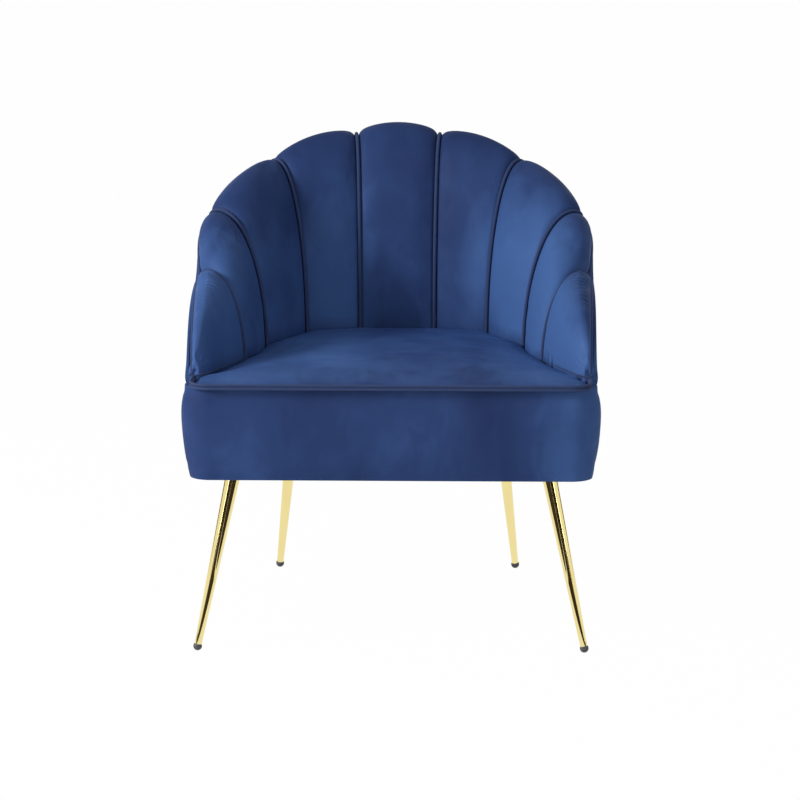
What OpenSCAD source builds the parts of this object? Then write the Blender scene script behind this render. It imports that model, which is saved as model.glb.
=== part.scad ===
// Channel-backed wing tub chair: velvet channels round a plywood shell, a boxed seat base and four
// splayed metal legs. Origin under the middle of the chair on the floor, front towards -Y, +Z up.

/* [Overall] */
// Width over the padded base
overall_w = 660; // [620:5:700]
// Depth from the front welt to the back of the outside cover
overall_d = 622; // [590:2:650]
// Height at the crest of the middle channel
overall_h = 782; // [742:5:822]
// Height at which the channels meet the seat
seat_h = 430; // [415:1:445]
// Underside of the base
base_h = 284; // [270:1:300]

/* [Channels] */
// Crown of a channel at the seat
crown_low = 8; // [5:1:10]
// Crown of a channel at the crest
crown_high = 16; // [12:1:18]
// Width of the roll that carries a channel over the crest
roll_w = 20; // [16:1:24]
// Drop from the crest to the outer edge of the roll
roll_drop = 10; // [8:1:13]
// Thickness of the foam on the ribs
foam_t = 30; // [25:1:34]
// Thickness of the velvet with its backing
cover_t = 1.8; // [1.2:0.2:2.6]
// Diameter of the piping in the seams
piping_d = 6; // [4:0.5:7]

/* [Seat] */
// Rise of the seat's crown over its edge
seat_crown = 16; // [8:1:22]
// Height of the welt's centre line over the channels' foot
welt_rise = 4; // [3:0.5:6]
// Diameter of the welt round the front of the seat
welt_d = 9; // [7:0.5:10]
// Radius of the seat's front corners in plan
seat_corner_r = 30; // [22:1:36]
// Thickness of the felt between webbing and foam
felt_t = 4; // [3:0.5:6]
// Width of a webbing strap
strap_w = 50; // [40:2:56]
// Thickness of a webbing strap
strap_t = 2; // [1.5:0.5:3]

/* [Base] */
// Amount by which the base narrows to its foot
base_taper = 11; // [6:1:13]
// Radius of the base's front corners in plan
base_corner_r = 46; // [42:1:56]
// Width of the hem turned under the base
hem_w = 11; // [8:1:12]
// Thickness of the dust cover
dust_t = 1.6; // [0.8:0.2:1.8]

/* [Frame] */
// Distance from the base's widest outline to its frame
frame_inset = 17; // [16:0.5:20]
// Thickness of the rails
rail_t = 22; // [18:1:24]
// Top of the rails
rail_top = 375; // [365:1:378]
// Thickness of the plywood ring under the rails
plate_t = 18; // [12:1:20]
// Width of that ring
plate_w = 92; // [86:1:100]
// Thickness of a rib
rib_t = 18; // [12:1:20]
// Height of the short rails between the ribs
span_t = 24; // [18:1:28]

/* [Legs] */
// Diameter of a leg at its mounting plate
leg_top_d = 24; // [20:0.5:28]
// Diameter of a leg at its glide
leg_foot_d = 11.5; // [9.5:0.5:14]
// Wall of the leg's tube
tube_wall = 1.5; // [1:0.1:2]
// Diameter of the ball glide
glide_d = 14; // [13:0.5:17]
// Diameter of the flat the glide stands on
glide_flat_d = 5; // [4:0.5:6]
// Side of the leg's square mounting plate
mount_w = 56; // [50:1:60]
// Thickness of the mounting plate
mount_t = 3; // [2:0.5:4]
// Spacing of the four leg screws
screw_pitch = 40; // [36:1:42]
// Diameter of a leg screw
screw_d = 4.5; // [3.5:0.5:5]
// Length of a leg screw under its head
screw_l = 20; // [16:1:20]

/* [Hidden] */

// Half the width, and the rise of the back over the seat
half_w = overall_w / 2;
back_rise = overall_h - crown_high - seat_h;
// Stations along the shell run from -4.5 at the left arm's tip to 4.5 at the right one's.
// The seams lie at the halves, and the tables hold the right-hand ones and the tip.
tip = 4.5;
last_seam = 3.5;
// Foot of the channels on the seat, as shares of the half width and of the depth
foot_x_shares = [0.194, 0.467, 0.652, 0.736, 0.912];
foot_y_shares = [0.323, 0.266, 0.060, -0.140, -0.397];
// Outer edge of the rolled rim, as shares of the half width and of the depth
rim_x_shares = [0.224, 0.667, 0.949, 0.973, 0.964];
rim_y_shares = [0.4775, 0.379, 0.153, -0.032, -0.385];
// Crest of the rim at these stations, in proportion to its height in the middle
crest_shares = [0.976, 0.862, 0.663, 0.416, 0.052];
// Outside of the shell where it meets the base, as shares of the half width and of the depth
low_x_shares = [0.206, 0.606, 0.895, 0.976, 0.976];
low_y_shares = [0.421, 0.341, 0.148, -0.039, -0.383];

// Clearance between soft pieces and between boards
soft_gap = 0.4;
board_gap = 0.3;
// Overrun of a cut past the face that it opens
overrun = 1;
// Step used to measure a slope
slope_step = 0.002;

// Depth to which the channels tuck down behind the seat
tuck = seat_h - rail_top - felt_t - 4 * strap_t;
// Lip of the base outside the shell
base_lip = 4.6;
// Front of the base, which the welt overhangs
welt_overhang = 11.7;
base_front = -overall_d / 2 + welt_overhang;
// Centre line of the welt at the front and, set back from the base's side, at the sides
welt_setback = 12.5;
welt_front = -overall_d / 2 + welt_d / 2;
welt_side = half_w - welt_setback - welt_d / 2;
welt_z = seat_h + welt_rise;
// Height at which the outside covers stand on the base's shoulder
shoulder_drop = 12;
shoulder_z = seat_h - shoulder_drop;
// Height of the plywood ring
plate_z = base_h + cover_t + soft_gap;
rail_z = plate_z + plate_t;

// Uniform cubic through four values
function cubic(a, b, c, d, t) =
    (2 * b + (c - a) * t + (2 * a - 5 * b + 4 * c - d) * t * t + (3 * b - a - 3 * c + d) * t * t * t) / 2;

// Entry of a mirrored table, carried on straight past its ends
function entry(t, i, odd) =
    let (n = len(t), m = i < 0 ? -1 - i : i)
    let (v = m < n ? t[m] : 2 * t[n - 1] - t[n - 2])
    i < 0 && odd ? -v : v;

// Value of a table at station q
function at(t, q, odd = false) =
    let (i = min(max(floor(q + tip), 0), 8) - 5, f = q + tip - i - 5)
    cubic(entry(t, i - 1, odd), entry(t, i, odd), entry(t, i + 1, odd), entry(t, i + 2, odd), f);

function foot(q) = [half_w * at(foot_x_shares, q, true), overall_d * at(foot_y_shares, q)];
function low(q) = [half_w * at(low_x_shares, q, true), overall_d * at(low_y_shares, q)];

// Past the last seam the rim falls to the arm's tip on a quarter of an ellipse.
function arm_turn(q) = 90 * (abs(q) - last_seam) / (tip - last_seam);
function between(a, b, f) = a + (b - a) * f;
function rim(q) =
    abs(q) <= last_seam
    ? [half_w * at(rim_x_shares, q, true), overall_d * at(rim_y_shares, q)]
    : let (f = sin(arm_turn(q)))
      [sign(q) * half_w * between(rim_x_shares[3], rim_x_shares[4], f),
       overall_d * between(rim_y_shares[3], rim_y_shares[4], f)];
function crest_share(q) =
    abs(q) <= last_seam ? at(crest_shares, q) : between(crest_shares[4], crest_shares[3], cos(arm_turn(q)));
function crest(q) = seat_h + back_rise * crest_share(q) / crest_share(0);

// Reach from foot to rim in plan, its direction, and the roll's size where the arm gets thin
function reach(q) = norm(rim(q) - foot(q));
function out(q) = (rim(q) - foot(q)) / reach(q);
function roll(q) = min(roll_w, 0.3 * reach(q));
function drop(q) = min(roll_drop, 0.5 * (crest(q) - seat_h));
function foam(q) = min(foam_t, 0.4 * reach(q));

// A point of a station's plane, r outwards from the foot and z up
function station(q, r, z) = let (p = foot(q) + r * out(q)) [p[0], p[1], z];

// Channel line without its crown: v is -1 to 0 in the tuck, 0 to 1 up to the crest, 1 to 2 over the roll
function line(q, v) =
    let (up = 90 * v, over = 90 * (v - 1))
    v <= 0 ? station(q, 0, seat_h + v * tuck) :
    v <= 1 ? station(q, (reach(q) - roll(q)) * (1 - cos(up)), seat_h + (crest(q) - seat_h) * sin(up)) :
    station(q, reach(q) - roll(q) * (1 - sin(over)), crest(q) - drop(q) * (1 - cos(over)));
function slope_v(q, v) = line(q, min(v + slope_step, 2)) - line(q, max(v - slope_step, -1));
function slope_q(q, v) = line(q + slope_step, v) - line(q - slope_step, v);
function unit(a) = a / norm(a);
function normal(q, v) = unit(cross(slope_q(q, v), slope_v(q, v)));

// Crown of a channel across its width and along its height
function crown(q, v) =
    let (u = 2 * (abs(q) + 0.5 - floor(abs(q) + 0.5)) - 1, w = max(v, 0))
    pow(max(1 - u * u, 0), 0.6)
    * between(crown_low, crown_high, pow(min(w, 1), 1.5))
    * (1 - 0.75 * max(w - 1, 0))
    * min(1, reach(q) / (3 * foam_t));
function skin(q, v, depth = 0) = line(q, v) + normal(q, v) * (crown(q, v) - depth);

// Back of the foam, which the ribs' inner edge follows, as its reach and height in the station's plane
function back_rz(q, v) =
    let (r0 = foam(q), r1 = max(reach(q) - roll(q), r0 + 0.2 * roll(q)))
    let (top = max(between(seat_h, crest(q), 0.9) - 0.6 * foam(q), seat_h + 0.2 * roll(q)))
    v <= 0 ? [r0, seat_h + v * tuck] :
    v <= 1 ? [r0 + (r1 - r0) * (1 - cos(90 * v)), seat_h + (top - seat_h) * sin(90 * v)] :
    [r1 + (v - 1) * 0.3 * roll(q), top - (v - 1) * 0.2 * drop(q)];
function backing(q, v) = let (b = back_rz(q, v)) station(q, b[0], b[1]);

// Outside of the shell, w is 0 at the base's shoulder and 1 under the rim's piping
function lip(q) = min(piping_d / 2, 0.15 * reach(q));
function rim_slope(q) = unit(skin(q + slope_step, 2) - skin(q - slope_step, 2));
function rim_up(q) = let (t = rim_slope(q)) unit([0, 0, 1] - t[2] * t);
function panel_edge(q) =
    let (p = rim(q) + 1.4 * lip(q) * out(q))
    [p[0], p[1], crest(q) - drop(q)] - rim_up(q) * (piping_d + 4 * soft_gap);
function panel_top(q) = panel_edge(q)[2];
function outside(q, w, depth = 0) =
    let (a = low(q), e = panel_edge(q), b = [e[0], e[1]], top = e[2])
    let (t = low(q + slope_step) - low(q - slope_step))
    let (n = [t[1], -t[0]] / norm(t) * -1)
    let (swell = 0.25 * crown_low * sin(180 * w) - depth)
    let (p = between(a, b, pow(w, 1.2)) + n * swell)
    [p[0], p[1], between(shoulder_z, top, w)];

// A slab between a front grid and a back grid of the same size
module slab(front, back) {
    n = len(front);
    m = len(front[0]);
    function f(i, j) = i * m + j;
    function b(i, j) = n * m + i * m + j;
    faces = concat(
        [for (i = [0:n - 2], j = [0:m - 2]) each [
            [f(i, j), f(i, j + 1), f(i + 1, j + 1)], [f(i, j), f(i + 1, j + 1), f(i + 1, j)],
            [b(i, j), b(i + 1, j + 1), b(i, j + 1)], [b(i, j), b(i + 1, j), b(i + 1, j + 1)]]],
        [for (j = [0:m - 2]) each [
            [f(0, j), b(0, j), b(0, j + 1)], [f(0, j), b(0, j + 1), f(0, j + 1)],
            [f(n - 1, j), b(n - 1, j + 1), b(n - 1, j)], [f(n - 1, j), f(n - 1, j + 1), b(n - 1, j + 1)]]],
        [for (i = [0:n - 2]) each [
            [f(i, 0), f(i + 1, 0), b(i + 1, 0)], [f(i, 0), b(i + 1, 0), b(i, 0)],
            [f(i, m - 1), b(i + 1, m - 1), f(i + 1, m - 1)], [f(i, m - 1), b(i, m - 1), b(i + 1, m - 1)]]]);
    polyhedron(concat([for (row = front) each row], [for (row = back) each row]), faces, convexity = 6);
}

// Middle of a ring of points
function sum(a, i = 0) = i < len(a) - 1 ? a[i] + sum(a, i + 1) : a[i];
function middle(a) = sum(a) / len(a);

// A skin through rings of equal count: closed end to start, or capped at both ends. From one ring on,
// each quad's diagonal can run the other way, so that a lower side creases where the upper side does.
module skin_rings(rings, looped = false, flip = false, turn = 1000, mids = []) {
    n = len(rings);
    m = len(rings[0]);
    function p(k, i) = (k % n) * m + i % m;
    walls = [for (k = [0:n - (looped ? 1 : 2)], i = [0:m - 1]) each k < turn
        ? [[p(k, i), p(k + 1, i), p(k + 1, i + 1)], [p(k, i), p(k + 1, i + 1), p(k, i + 1)]]
        : [[p(k, i), p(k + 1, i), p(k, i + 1)], [p(k + 1, i), p(k + 1, i + 1), p(k, i + 1)]]];
    caps = looped ? [] : [for (i = [0:m - 1]) each
        [[n * m, p(0, i), p(0, i + 1)], [n * m + 1, p(n - 1, i + 1), p(n - 1, i)]]];
    hubs = looped ? [] : len(mids) > 0 ? mids : [middle(rings[0]), middle(rings[n - 1])];
    faces = concat(walls, caps);
    turned = flip ? [for (f = faces) [f[2], f[1], f[0]]] : faces;
    polyhedron(concat([for (r = rings) each r], hubs), turned, convexity = 6);
}

// A round cord along a path, each point with a direction square to the path
module cord(path, sides, d, sides_n) {
    last = len(path) - 1;
    rings = [for (i = [0:last])
        let (t = unit(path[min(i + 1, last)] - path[max(i - 1, 0)]))
        let (a = unit(sides[i] - (sides[i] * t) * t))
        let (b = cross(t, a))
        [for (k = [0:sides_n - 1]) let (w = 360 * k / sides_n) path[i] + d / 2 * (cos(w) * a + sin(w) * b)]];
    skin_rings(rings);
}

// Steps of the grids in the tuck, up the face, over the roll and across a channel
face_steps = 9;
roll_steps = 3;
half_across = 3;
face_v = concat([-1],
    [for (k = [0:face_steps]) k / face_steps],
    [for (k = [1:roll_steps]) 1 + k / roll_steps]);

// Stations across the channel whose middle is m: closer near its seams, and clear of their piping
function width_at(q, r) =
    min([for (s = [-slope_step, slope_step])
        let (d = station(q + s, r, 0) - station(q, r, 0)) abs((d[0] * out(q)[1] - d[1] * out(q)[0]) / s)]);
function least_width(q) = abs(q) < tip ? min(width_at(q, 0), width_at(q, reach(q))) : width_at(q, 0);
function across(m, clear, steps = half_across) =
    let (a = m - 0.5 + clear / least_width(m - 0.5), b = m + 0.5 - clear / least_width(m + 0.5))
    [for (k = [-steps:steps]) (a + b) / 2 + (b - a) / 2 * sin(90 * k / steps)];

// Stations of one channel's grid, and of all the channels between two stations with those two
function grid(m) = across(m, piping_d / 2 + 1.7 * soft_gap);
function grid_between(a, b) =
    let (near = 4 * slope_step)
    concat([a], [for (m = [-4:4], q = grid(m)) if (q > a + near && q < b - near) q], [b]);

// Colours
velvet = [0.15, 0.22, 0.42];
foam_buff = [0.93, 0.87, 0.66];
wadding_white = [0.93, 0.93, 0.90];
plywood = [0.80, 0.66, 0.46];
jute = [0.72, 0.62, 0.42];
felt_gray = [0.62, 0.62, 0.60];
dust_black = [0.10, 0.10, 0.11];
gold = [0.90, 0.76, 0.42];
zinc = [0.70, 0.71, 0.72];
glide_gray = [0.27, 0.27, 0.28];

module channel_cover(m) {
    color(velvet)
    slab([for (q = grid(m)) [for (v = face_v) skin(q, v)]],
         [for (q = grid(m)) [for (v = face_v) skin(q, v, cover_t)]]);
}

module channel_foam(m) {
    depth = cover_t + 2 * soft_gap;
    color(foam_buff)
    slab([for (q = grid(m)) [for (v = face_v) skin(q, min(v, 1.96), depth)]],
         [for (q = grid(m)) [for (v = face_v) backing(q, v)]]);
}

// Piping in the seams, sunk halfway between the crowns
module seam_piping() {
    color(velvet)
    for (s = [-3.5:3.5]) {
        vs = [for (k = [0:13]) between(0.02, 1.85, k / 13)];
        cord([for (v = vs) line(s, v) - normal(s, v) * piping_d / 4],
             [for (v = vs) normal(s, v)], piping_d, 6);
    }
}

// Piping under the edge of the roll, with a scallop on each channel
module rim_piping() {
    qs = grid_between(grid(-4)[0], grid(4)[2 * half_across]);
    color(velvet)
    cord([for (q = qs) skin(q, 2) - rim_up(q) * (piping_d / 2 + soft_gap)],
         [for (q = qs) [0, 0, 1]], piping_d, 6);
}

// Outside covers on their boards
panel_board_t = 2.4;
panel_t = cover_t + panel_board_t;
panel_steps = 6;
panel_seam = 2.5;
panel_clear = 0.5 * soft_gap / width_at(panel_seam, reach(panel_seam));
back_end = panel_seam - panel_clear;
arm_start = panel_seam + panel_clear;
panel_end = 4.465;
module outside_panel(q0, q1) {
    qs = grid_between(q0, q1);
    color(velvet)
    slab([for (q = qs) [for (k = [0:panel_steps]) outside(q, k / panel_steps, panel_t)]],
         [for (q = qs) [for (k = [0:panel_steps]) outside(q, k / panel_steps)]]);
}

// Plan of the base at its widest: round the shell from the left arm, then along the front.
// Each point has its outward direction, and an inset moves it back along that.
side_steps = 36;
corner_steps = 6;
function low_out(q) = let (t = unit(low(q + slope_step) - low(q - slope_step))) [-t[1], t[0]];
shell_plan = [for (k = [0:side_steps])
    let (q = tip * (2 * k / side_steps - 1)) [low(q) + low_out(q) * base_lip, low_out(q)]];
corner_x = half_w - base_corner_r;
corner_y = base_front + base_corner_r;
function corner(x, y, r, a) = let (d = [cos(a), sin(a)]) [[x, y] + r * d, d];
front_plan = [for (s = [0, 1], k = [0:corner_steps])
    corner(s == 0 ? corner_x : -corner_x, corner_y, base_corner_r, -90 * (s + k / corner_steps))];
plan = concat(shell_plan, front_plan);
function inset_plan(d) = [for (p = plan) p[0] - d * p[1]];

// Height of the base's widest outline, and how far it draws in below and above that
shoulder_in = 10.8;
widest_share = 0.72;
widest_z = between(base_h, shoulder_z, widest_share);
function base_inset(z) =
    z < widest_z ? base_taper * pow((widest_z - z) / (widest_z - base_h), 1.6)
                 : 0.5 * shoulder_in * pow((z - widest_z) / (shoulder_z - widest_z), 2.5);

// Top of the base cover: under the welt at the front, at the shoulder round the shell
front_top = welt_z - welt_d / 2 - soft_gap;
function base_top(i) = i < len(shell_plan) ? shoulder_z : front_top;

// Closed profile of the base's cloth at a point of the plan, from the top fold down to the hem and back
base_rows = 8;
function base_profile(i, depth) =
    let (p = plan[i], top = base_top(i) - depth, foot_z = base_h + depth)
    [for (k = [0:base_rows]) let (z = between(top, foot_z, k / base_rows))
        let (d = base_inset(min(z, shoulder_z)) + depth, c = p[0] - d * p[1]) [c[0], c[1], z]];
function fold(i, depth, z) = let (p = plan[i], c = p[0] - depth * p[1]) [c[0], c[1], z];

module base_cover() {
    n = len(plan);
    rings = [for (i = [n - 1:-1:0])
        let (top = base_top(i), outer = base_profile(i, 0), inner = base_profile(i, cover_t))
        concat([fold(i, base_inset(shoulder_z) + shoulder_in, top)], outer,
               [fold(i, base_taper + hem_w, base_h), fold(i, base_taper + hem_w, base_h + cover_t)],
               [for (k = [base_rows:-1:0]) inner[k]],
               [fold(i, base_inset(shoulder_z) + shoulder_in, top - cover_t)])];
    color(velvet)
    skin_rings(rings, looped = true);
}

// Wadding between the base's cloth and its frame
wad_depth = cover_t + 2 * soft_gap;
module base_wadding() {
    n = len(plan);
    rings = [for (i = [n - 1:-1:0])
        let (outer = base_profile(i, wad_depth), back = frame_inset - board_gap)
        concat(outer, [fold(i, back, base_h + wad_depth), fold(i, back, base_top(i) - wad_depth)])];
    color(wadding_white)
    skin_rings(rings, looped = true);
}

// Opening in the middle of the plywood ring and of the dust cover's seam allowance
function shrunk(d) = [for (p = inset_plan(0)) [p[0] * (1 - d / half_w), p[1] * (1 - 2 * d / overall_d)]];

module base_plate() {
    color(plywood)
    difference() {
        translate([0, 0, plate_z])
        linear_extrude(plate_t)
        difference() {
            polygon(inset_plan(frame_inset));
            polygon(shrunk(frame_inset + plate_w));
        }
        screw_holes();
    }
}

// A rail is a band of the plan between two of its points
module rail(from, to) {
    function edge(i, d) = let (p = plan[i % len(plan)]) p[0] - d * p[1];
    color(plywood)
    translate([0, 0, rail_z])
    linear_extrude(rail_top - rail_z)
    polygon(concat([for (i = [from:to]) edge(i, frame_inset)],
                   [for (i = [to:-1:from]) edge(i, frame_inset + rail_t)]));
}

// Reach from a station's foot to the outside panel, and to the frame's line below the shoulder
function reach_to(q, p, n) = (([p[0], p[1]] - foot(q)) * n) / (out(q) * n);
function panel_r(q, z) =
    let (w = (z - shoulder_z) / (panel_top(q) - shoulder_z))
    reach_to(q, outside(q, w, panel_t), low_out(q)) - board_gap;
function frame_r(q) = reach_to(q, low(q) - low_out(q) * (frame_inset - base_lip), low_out(q)) - board_gap;
function board_top(q) = back_rz(q, 2)[1] - 2 * board_gap;

// Limits of a board of thickness t, taken over both its faces and its middle
function faces_q(q, t) = let (d = t / 2 / min(width_at(q, foam(q)), width_at(q, reach(q)))) [q - d, q, q + d];
function along(q, p) = ([p[0], p[1]] - foot(q)) * out(q);
function inner_rz(q, v, t) =
    let (a = [for (f = faces_q(q, t)) backing(f, v)])
    [max([for (p = a) along(q, p)]), min([for (p = a) p[2]])];
function outer_r(q, z, t) = min([for (f = faces_q(q, t)) along(q, station(f, panel_r(f, z), z))]);

// A board that stands on the rails in a station's plane
board_steps = 8;
board_shift = 4 * board_gap;
function frame_side(q, t) = min([for (f = faces_q(q, t)) along(q, station(f, frame_r(f), 0))]);

// Levels of a board over the shoulder, each with its inner and outer reach, as far up as it keeps its width
least_board_w = 6;
function board_levels(q, t) =
    let (top = min([for (f = faces_q(q, t)) board_top(f)]))
    [for (k = [0:board_steps + 1])
        let (a = inner_rz(q, k > board_steps ? 2 : k / board_steps, t))
        let (z = k > board_steps ? top : min(a[1] - board_shift, top))
        let (level = [a[0] + board_shift, z, outer_r(q, z, t) - board_shift])
        if (z > shoulder_z && level[2] - level[0] > least_board_w) level];
module board(q, t) {
    side = frame_side(q, t);
    levels = board_levels(q, t);
    n = len(levels);
    color(plywood)
    translate([foot(q)[0], foot(q)[1], 0])
    rotate([90, 0, atan2(out(q)[1], out(q)[0])])
    linear_extrude(t, center = true)
    polygon(concat(
        [[inner_rz(q, 0, t)[0] + board_shift, rail_top]],
        [for (l = levels) [l[0], l[1]]],
        [for (k = [n - 1:-1:0]) [levels[k][2], levels[k][1]]],
        [[outer_r(q, shoulder_z, t) - board_shift, shoulder_z], [side, shoulder_z], [side, rail_top]]));
}

// A rail bent between two boards, in a band of height under its top
function board_clear(q, t) = (t / 2 + board_gap) / min(width_at(q, foam(q)), width_at(q, reach(q)));
module span(q0, q1, t0, t1, low_z, high_z, in_r, out_r) {
    a = q0 + board_clear(q0, t0);
    b = q1 - board_clear(q1, t1);
    qs = grid_between(a, b);
    color(plywood)
    slab([for (q = qs) [for (z = [low_z, high_z]) station(q, in_r(q), z(q))]],
         [for (q = qs) [for (z = [low_z, high_z]) station(q, out_r(q), z(q))]]);
}

// Arm posts stand between the last seam and the tip
post_q = between(last_seam, tip, 0.62);
post_t = 1.3 * rib_t;
module spans(low_z, high_z, in_r, out_r) {
    for (m = [-3:3]) span(m - 0.5, m + 0.5, rib_t, rib_t, low_z, high_z, in_r, out_r);
    span(last_seam, post_q, rib_t, post_t, low_z, high_z, in_r, out_r);
    span(-post_q, -last_seam, post_t, rib_t, low_z, high_z, in_r, out_r);
}
module rim_rails() {
    spans(function (q) board_top(q) - span_t,
          function (q) board_top(q),
          function (q) back_rz(q, 1)[0] + 5 * board_gap,
          function (q) panel_r(q, board_top(q) - span_t) - 4 * board_gap);
}
module tack_rails() {
    spans(function (q) shoulder_z - span_t,
          function (q) shoulder_z - board_gap,
          function (q) foam(q) + 3 * board_gap,
          function (q) frame_r(q) - 2 * board_gap);
}

// Straps run between the boards: lengthwise to the middles of the three rear channels,
// crosswise to the middles of the side ones and to the rails in front of the posts.
function strap_y(q) = station(q, reach(q) / 2, 0)[1];
rail_in_y = base_front + frame_inset + rail_t;
strap_xs = [for (m = [-1:1]) station(m, reach(m) / 2, 0)[0]];
strap_ys = [strap_y(2), strap_y(3), strap_y(3.8), between(strap_y(4.3), base_front + frame_inset, 0.4)];
function rear_rail_y(x) = let (q = x / strap_xs[2]) low(q)[1] - frame_inset + base_lip - rail_t / 2;
module webbing_lengthwise() {
    color(jute)
    for (x = strap_xs)
        translate([x - strap_w / 2, rail_in_y - 0.8 * rail_t, rail_top])
        cube([strap_w, rear_rail_y(x) - rail_in_y + 0.8 * rail_t, strap_t]);
}

// Crosswise straps lie on the lengthwise ones, with their ends drawn down to the side rails
function rail_mid_x(q) = low(q)[0] + (base_lip - frame_inset - rail_t / 2) * low_out(q)[0];
module crosswise_strap(y) {
    x = rail_mid_x(q_at(y + strap_w / 2));
    in_x = x - rail_t;
    up_x = in_x - 5 * strap_t;
    translate([0, y + strap_w / 2, rail_top])
    rotate([90, 0, 0])
    linear_extrude(strap_w)
    polygon([[-x, 0], [-in_x, 0], [-up_x, strap_t], [up_x, strap_t], [in_x, 0], [x, 0],
             [x, strap_t], [in_x, strap_t], [up_x, 2 * strap_t],
             [-up_x, 2 * strap_t], [-in_x, strap_t], [-x, strap_t]]);
}
module webbing_crosswise() {
    color(jute)
    for (y = strap_ys) crosswise_strap(y);
}
function q_at(y) = max([for (q = [1:0.05:tip]) if (low(q)[1] >= y) q]);

// Plan of the seat: along the channels' foot, past the ends of the arms, and across the front.
// Where an outline comes out from behind the right arm, it starts at x in front of the arm's end.
function arm_end(x, clear_x = 0) =
    let (a = foot(tip), d = rim(tip) - foot(tip))
    [x, a[1] + (x - clear_x - a[0]) * d[1] / d[0] - 2 * soft_gap];
function t_front(start, side_x, front_y, r) = concat(
    [start],
    [for (s = [0, 1], k = [0:corner_steps])
        corner(s == 0 ? side_x - r : r - side_x, front_y + r, r, -90 * (s + k / corner_steps))[0]],
    [[-start[0], start[1]]]);
seat_side = [for (m = [-4:4], q = grid(m)) let (p = skin(q, 0, -soft_gap)) [p[0], p[1]]];
arm_corner = foot(tip) - [0, 2 * soft_gap];
// Middles of the deck's inner and outer rings, and the point past the arm's corner in line with them
seat_mid_share = -0.14;
seat_fore_share = -0.34;
seat_mid = [0, seat_mid_share * overall_d];
seat_fore = [0, seat_fore_share * overall_d];
function deck_end(x) =
    [x, arm_corner[1] + (x - arm_corner[0]) * (arm_corner[1] - seat_mid[1]) / arm_corner[0]];
deck_in = welt_d / 2 + soft_gap;
seat_plan = concat([[-arm_corner[0], arm_corner[1]]], seat_side, [arm_corner],
    t_front(deck_end(welt_side - deck_in), welt_side - deck_in, welt_front + deck_in,
            seat_corner_r - deck_in));
foam_in = frame_inset + board_gap;
foam_plan = concat([[-arm_corner[0], arm_corner[1]]], seat_side, [arm_corner],
    t_front(deck_end(low(tip)[0] + base_lip - foam_in), half_w - foam_in, base_front + foam_in,
            base_corner_r - foam_in));
shell_points = len(seat_side) + 2;

// Edge of the deck: at the channels' foot round the back, level with the welt at the front
function edge_z(i) = i < shell_points ? seat_h : welt_z;
crown_shares = [1, 0.96, 0.86, 0.65, 0.3];
function deck_ring(s, depth) =
    [for (i = [0:len(seat_plan) - 1])
        let (c = between(seat_mid, seat_fore, s), p = c + (seat_plan[i] - c) * s)
        let (z = between(welt_z, edge_z(i), pow(s, 4)) + seat_crown * (1 - pow(s, 2.5)))
        [p[0], p[1], z - depth]];
function deck_hub(depth) =
    let (s = crown_shares[len(crown_shares) - 1], c = between(seat_mid, seat_fore, s))
    let (p = between(c, seat_fore, s))
    [p[0], p[1], welt_z + seat_crown * (1 - pow(s, 3)) - depth];
module seat_cover() {
    color(velvet)
    skin_rings(concat([for (k = [len(crown_shares) - 1:-1:0]) deck_ring(crown_shares[k], 0)],
                      [for (s = crown_shares) deck_ring(s, cover_t)]), turn = len(crown_shares),
               mids = [deck_hub(0), deck_hub(cover_t)]);
}

felt_z = rail_top + 2 * strap_t;
module seat_foam() {
    ledge = front_top + soft_gap;
    low_ledge = front_top - 2 * welt_rise;
    n = len(seat_plan);
    color(foam_buff)
    skin_rings(concat(
        [[for (p = foam_plan) [p[0], p[1], felt_z + felt_t]]],
        [[for (i = [0:n - 1]) let (z = i < shell_points ? low_ledge - soft_gap : ledge)
            [foam_plan[i][0], foam_plan[i][1], z]]],
        [[for (i = [0:n - 1]) let (z = i < shell_points ? low_ledge : ledge)
            [seat_plan[i][0], seat_plan[i][1], z]]],
        [for (s = crown_shares) deck_ring(s, cover_t + 2 * soft_gap)]), flip = true, turn = 3,
        mids = [[seat_fore[0], seat_fore[1], felt_z + felt_t], deck_hub(cover_t + 2 * soft_gap)]);
}
module felt_pad() {
    color(felt_gray)
    translate([0, 0, felt_z])
    linear_extrude(felt_t)
    polygon(foam_plan);
}

// Welt round the front edge of the seat, from one arm's tip to the other's
module seat_welt() {
    path = t_front(arm_end(welt_side, welt_d / 2), welt_side, welt_front, seat_corner_r);
    color(velvet)
    cord([for (p = path) [p[0], p[1], welt_z]], [for (p = path) [0, 0, 1]], welt_d, 8);
}

// Legs: middles of the mounting plate and of the glide, as shares of the half width and of the depth
leg_top_x_shares = [0.758, 0.539];
leg_top_y_share = 0.269;
leg_foot_x_shares = [0.933, 0.630];
leg_foot_y_shares = [-0.446, 0.361];
glide_z = sqrt(pow(glide_d / 2, 2) - pow(glide_flat_d / 2, 2));
// The front screws clear the base's hem.
hem_clear = 2.8;
front_leg_y = base_front + base_taper + hem_w + hem_clear + screw_d + screw_pitch / 2;
function leg_top(side, end) =
    [side * half_w * leg_top_x_shares[end],
     end == 0 ? front_leg_y : overall_d * leg_top_y_share,
     base_h - mount_t];
function leg_foot(side, end) =
    [side * half_w * leg_foot_x_shares[end], overall_d * leg_foot_y_shares[end], glide_z];
function leg_rise(side, end) = leg_top(side, end) - leg_foot(side, end);
// Turn of the tube about its own axis, which puts its seam on the inner side of the leg
seam_turn = 200;
module on_leg_axis(side, end) {
    u = leg_rise(side, end);
    translate(leg_foot(side, end))
    rotate([0, acos(u[2] / norm(u)), atan2(u[1], u[0])])
    rotate(seam_turn)
    children();
}
module at_screws(side, end) {
    for (x = [-0.5, 0.5], y = [-0.5, 0.5])
        translate([leg_top(side, end)[0] + x * screw_pitch, leg_top(side, end)[1] + y * screw_pitch, 0])
        children();
}

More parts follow.
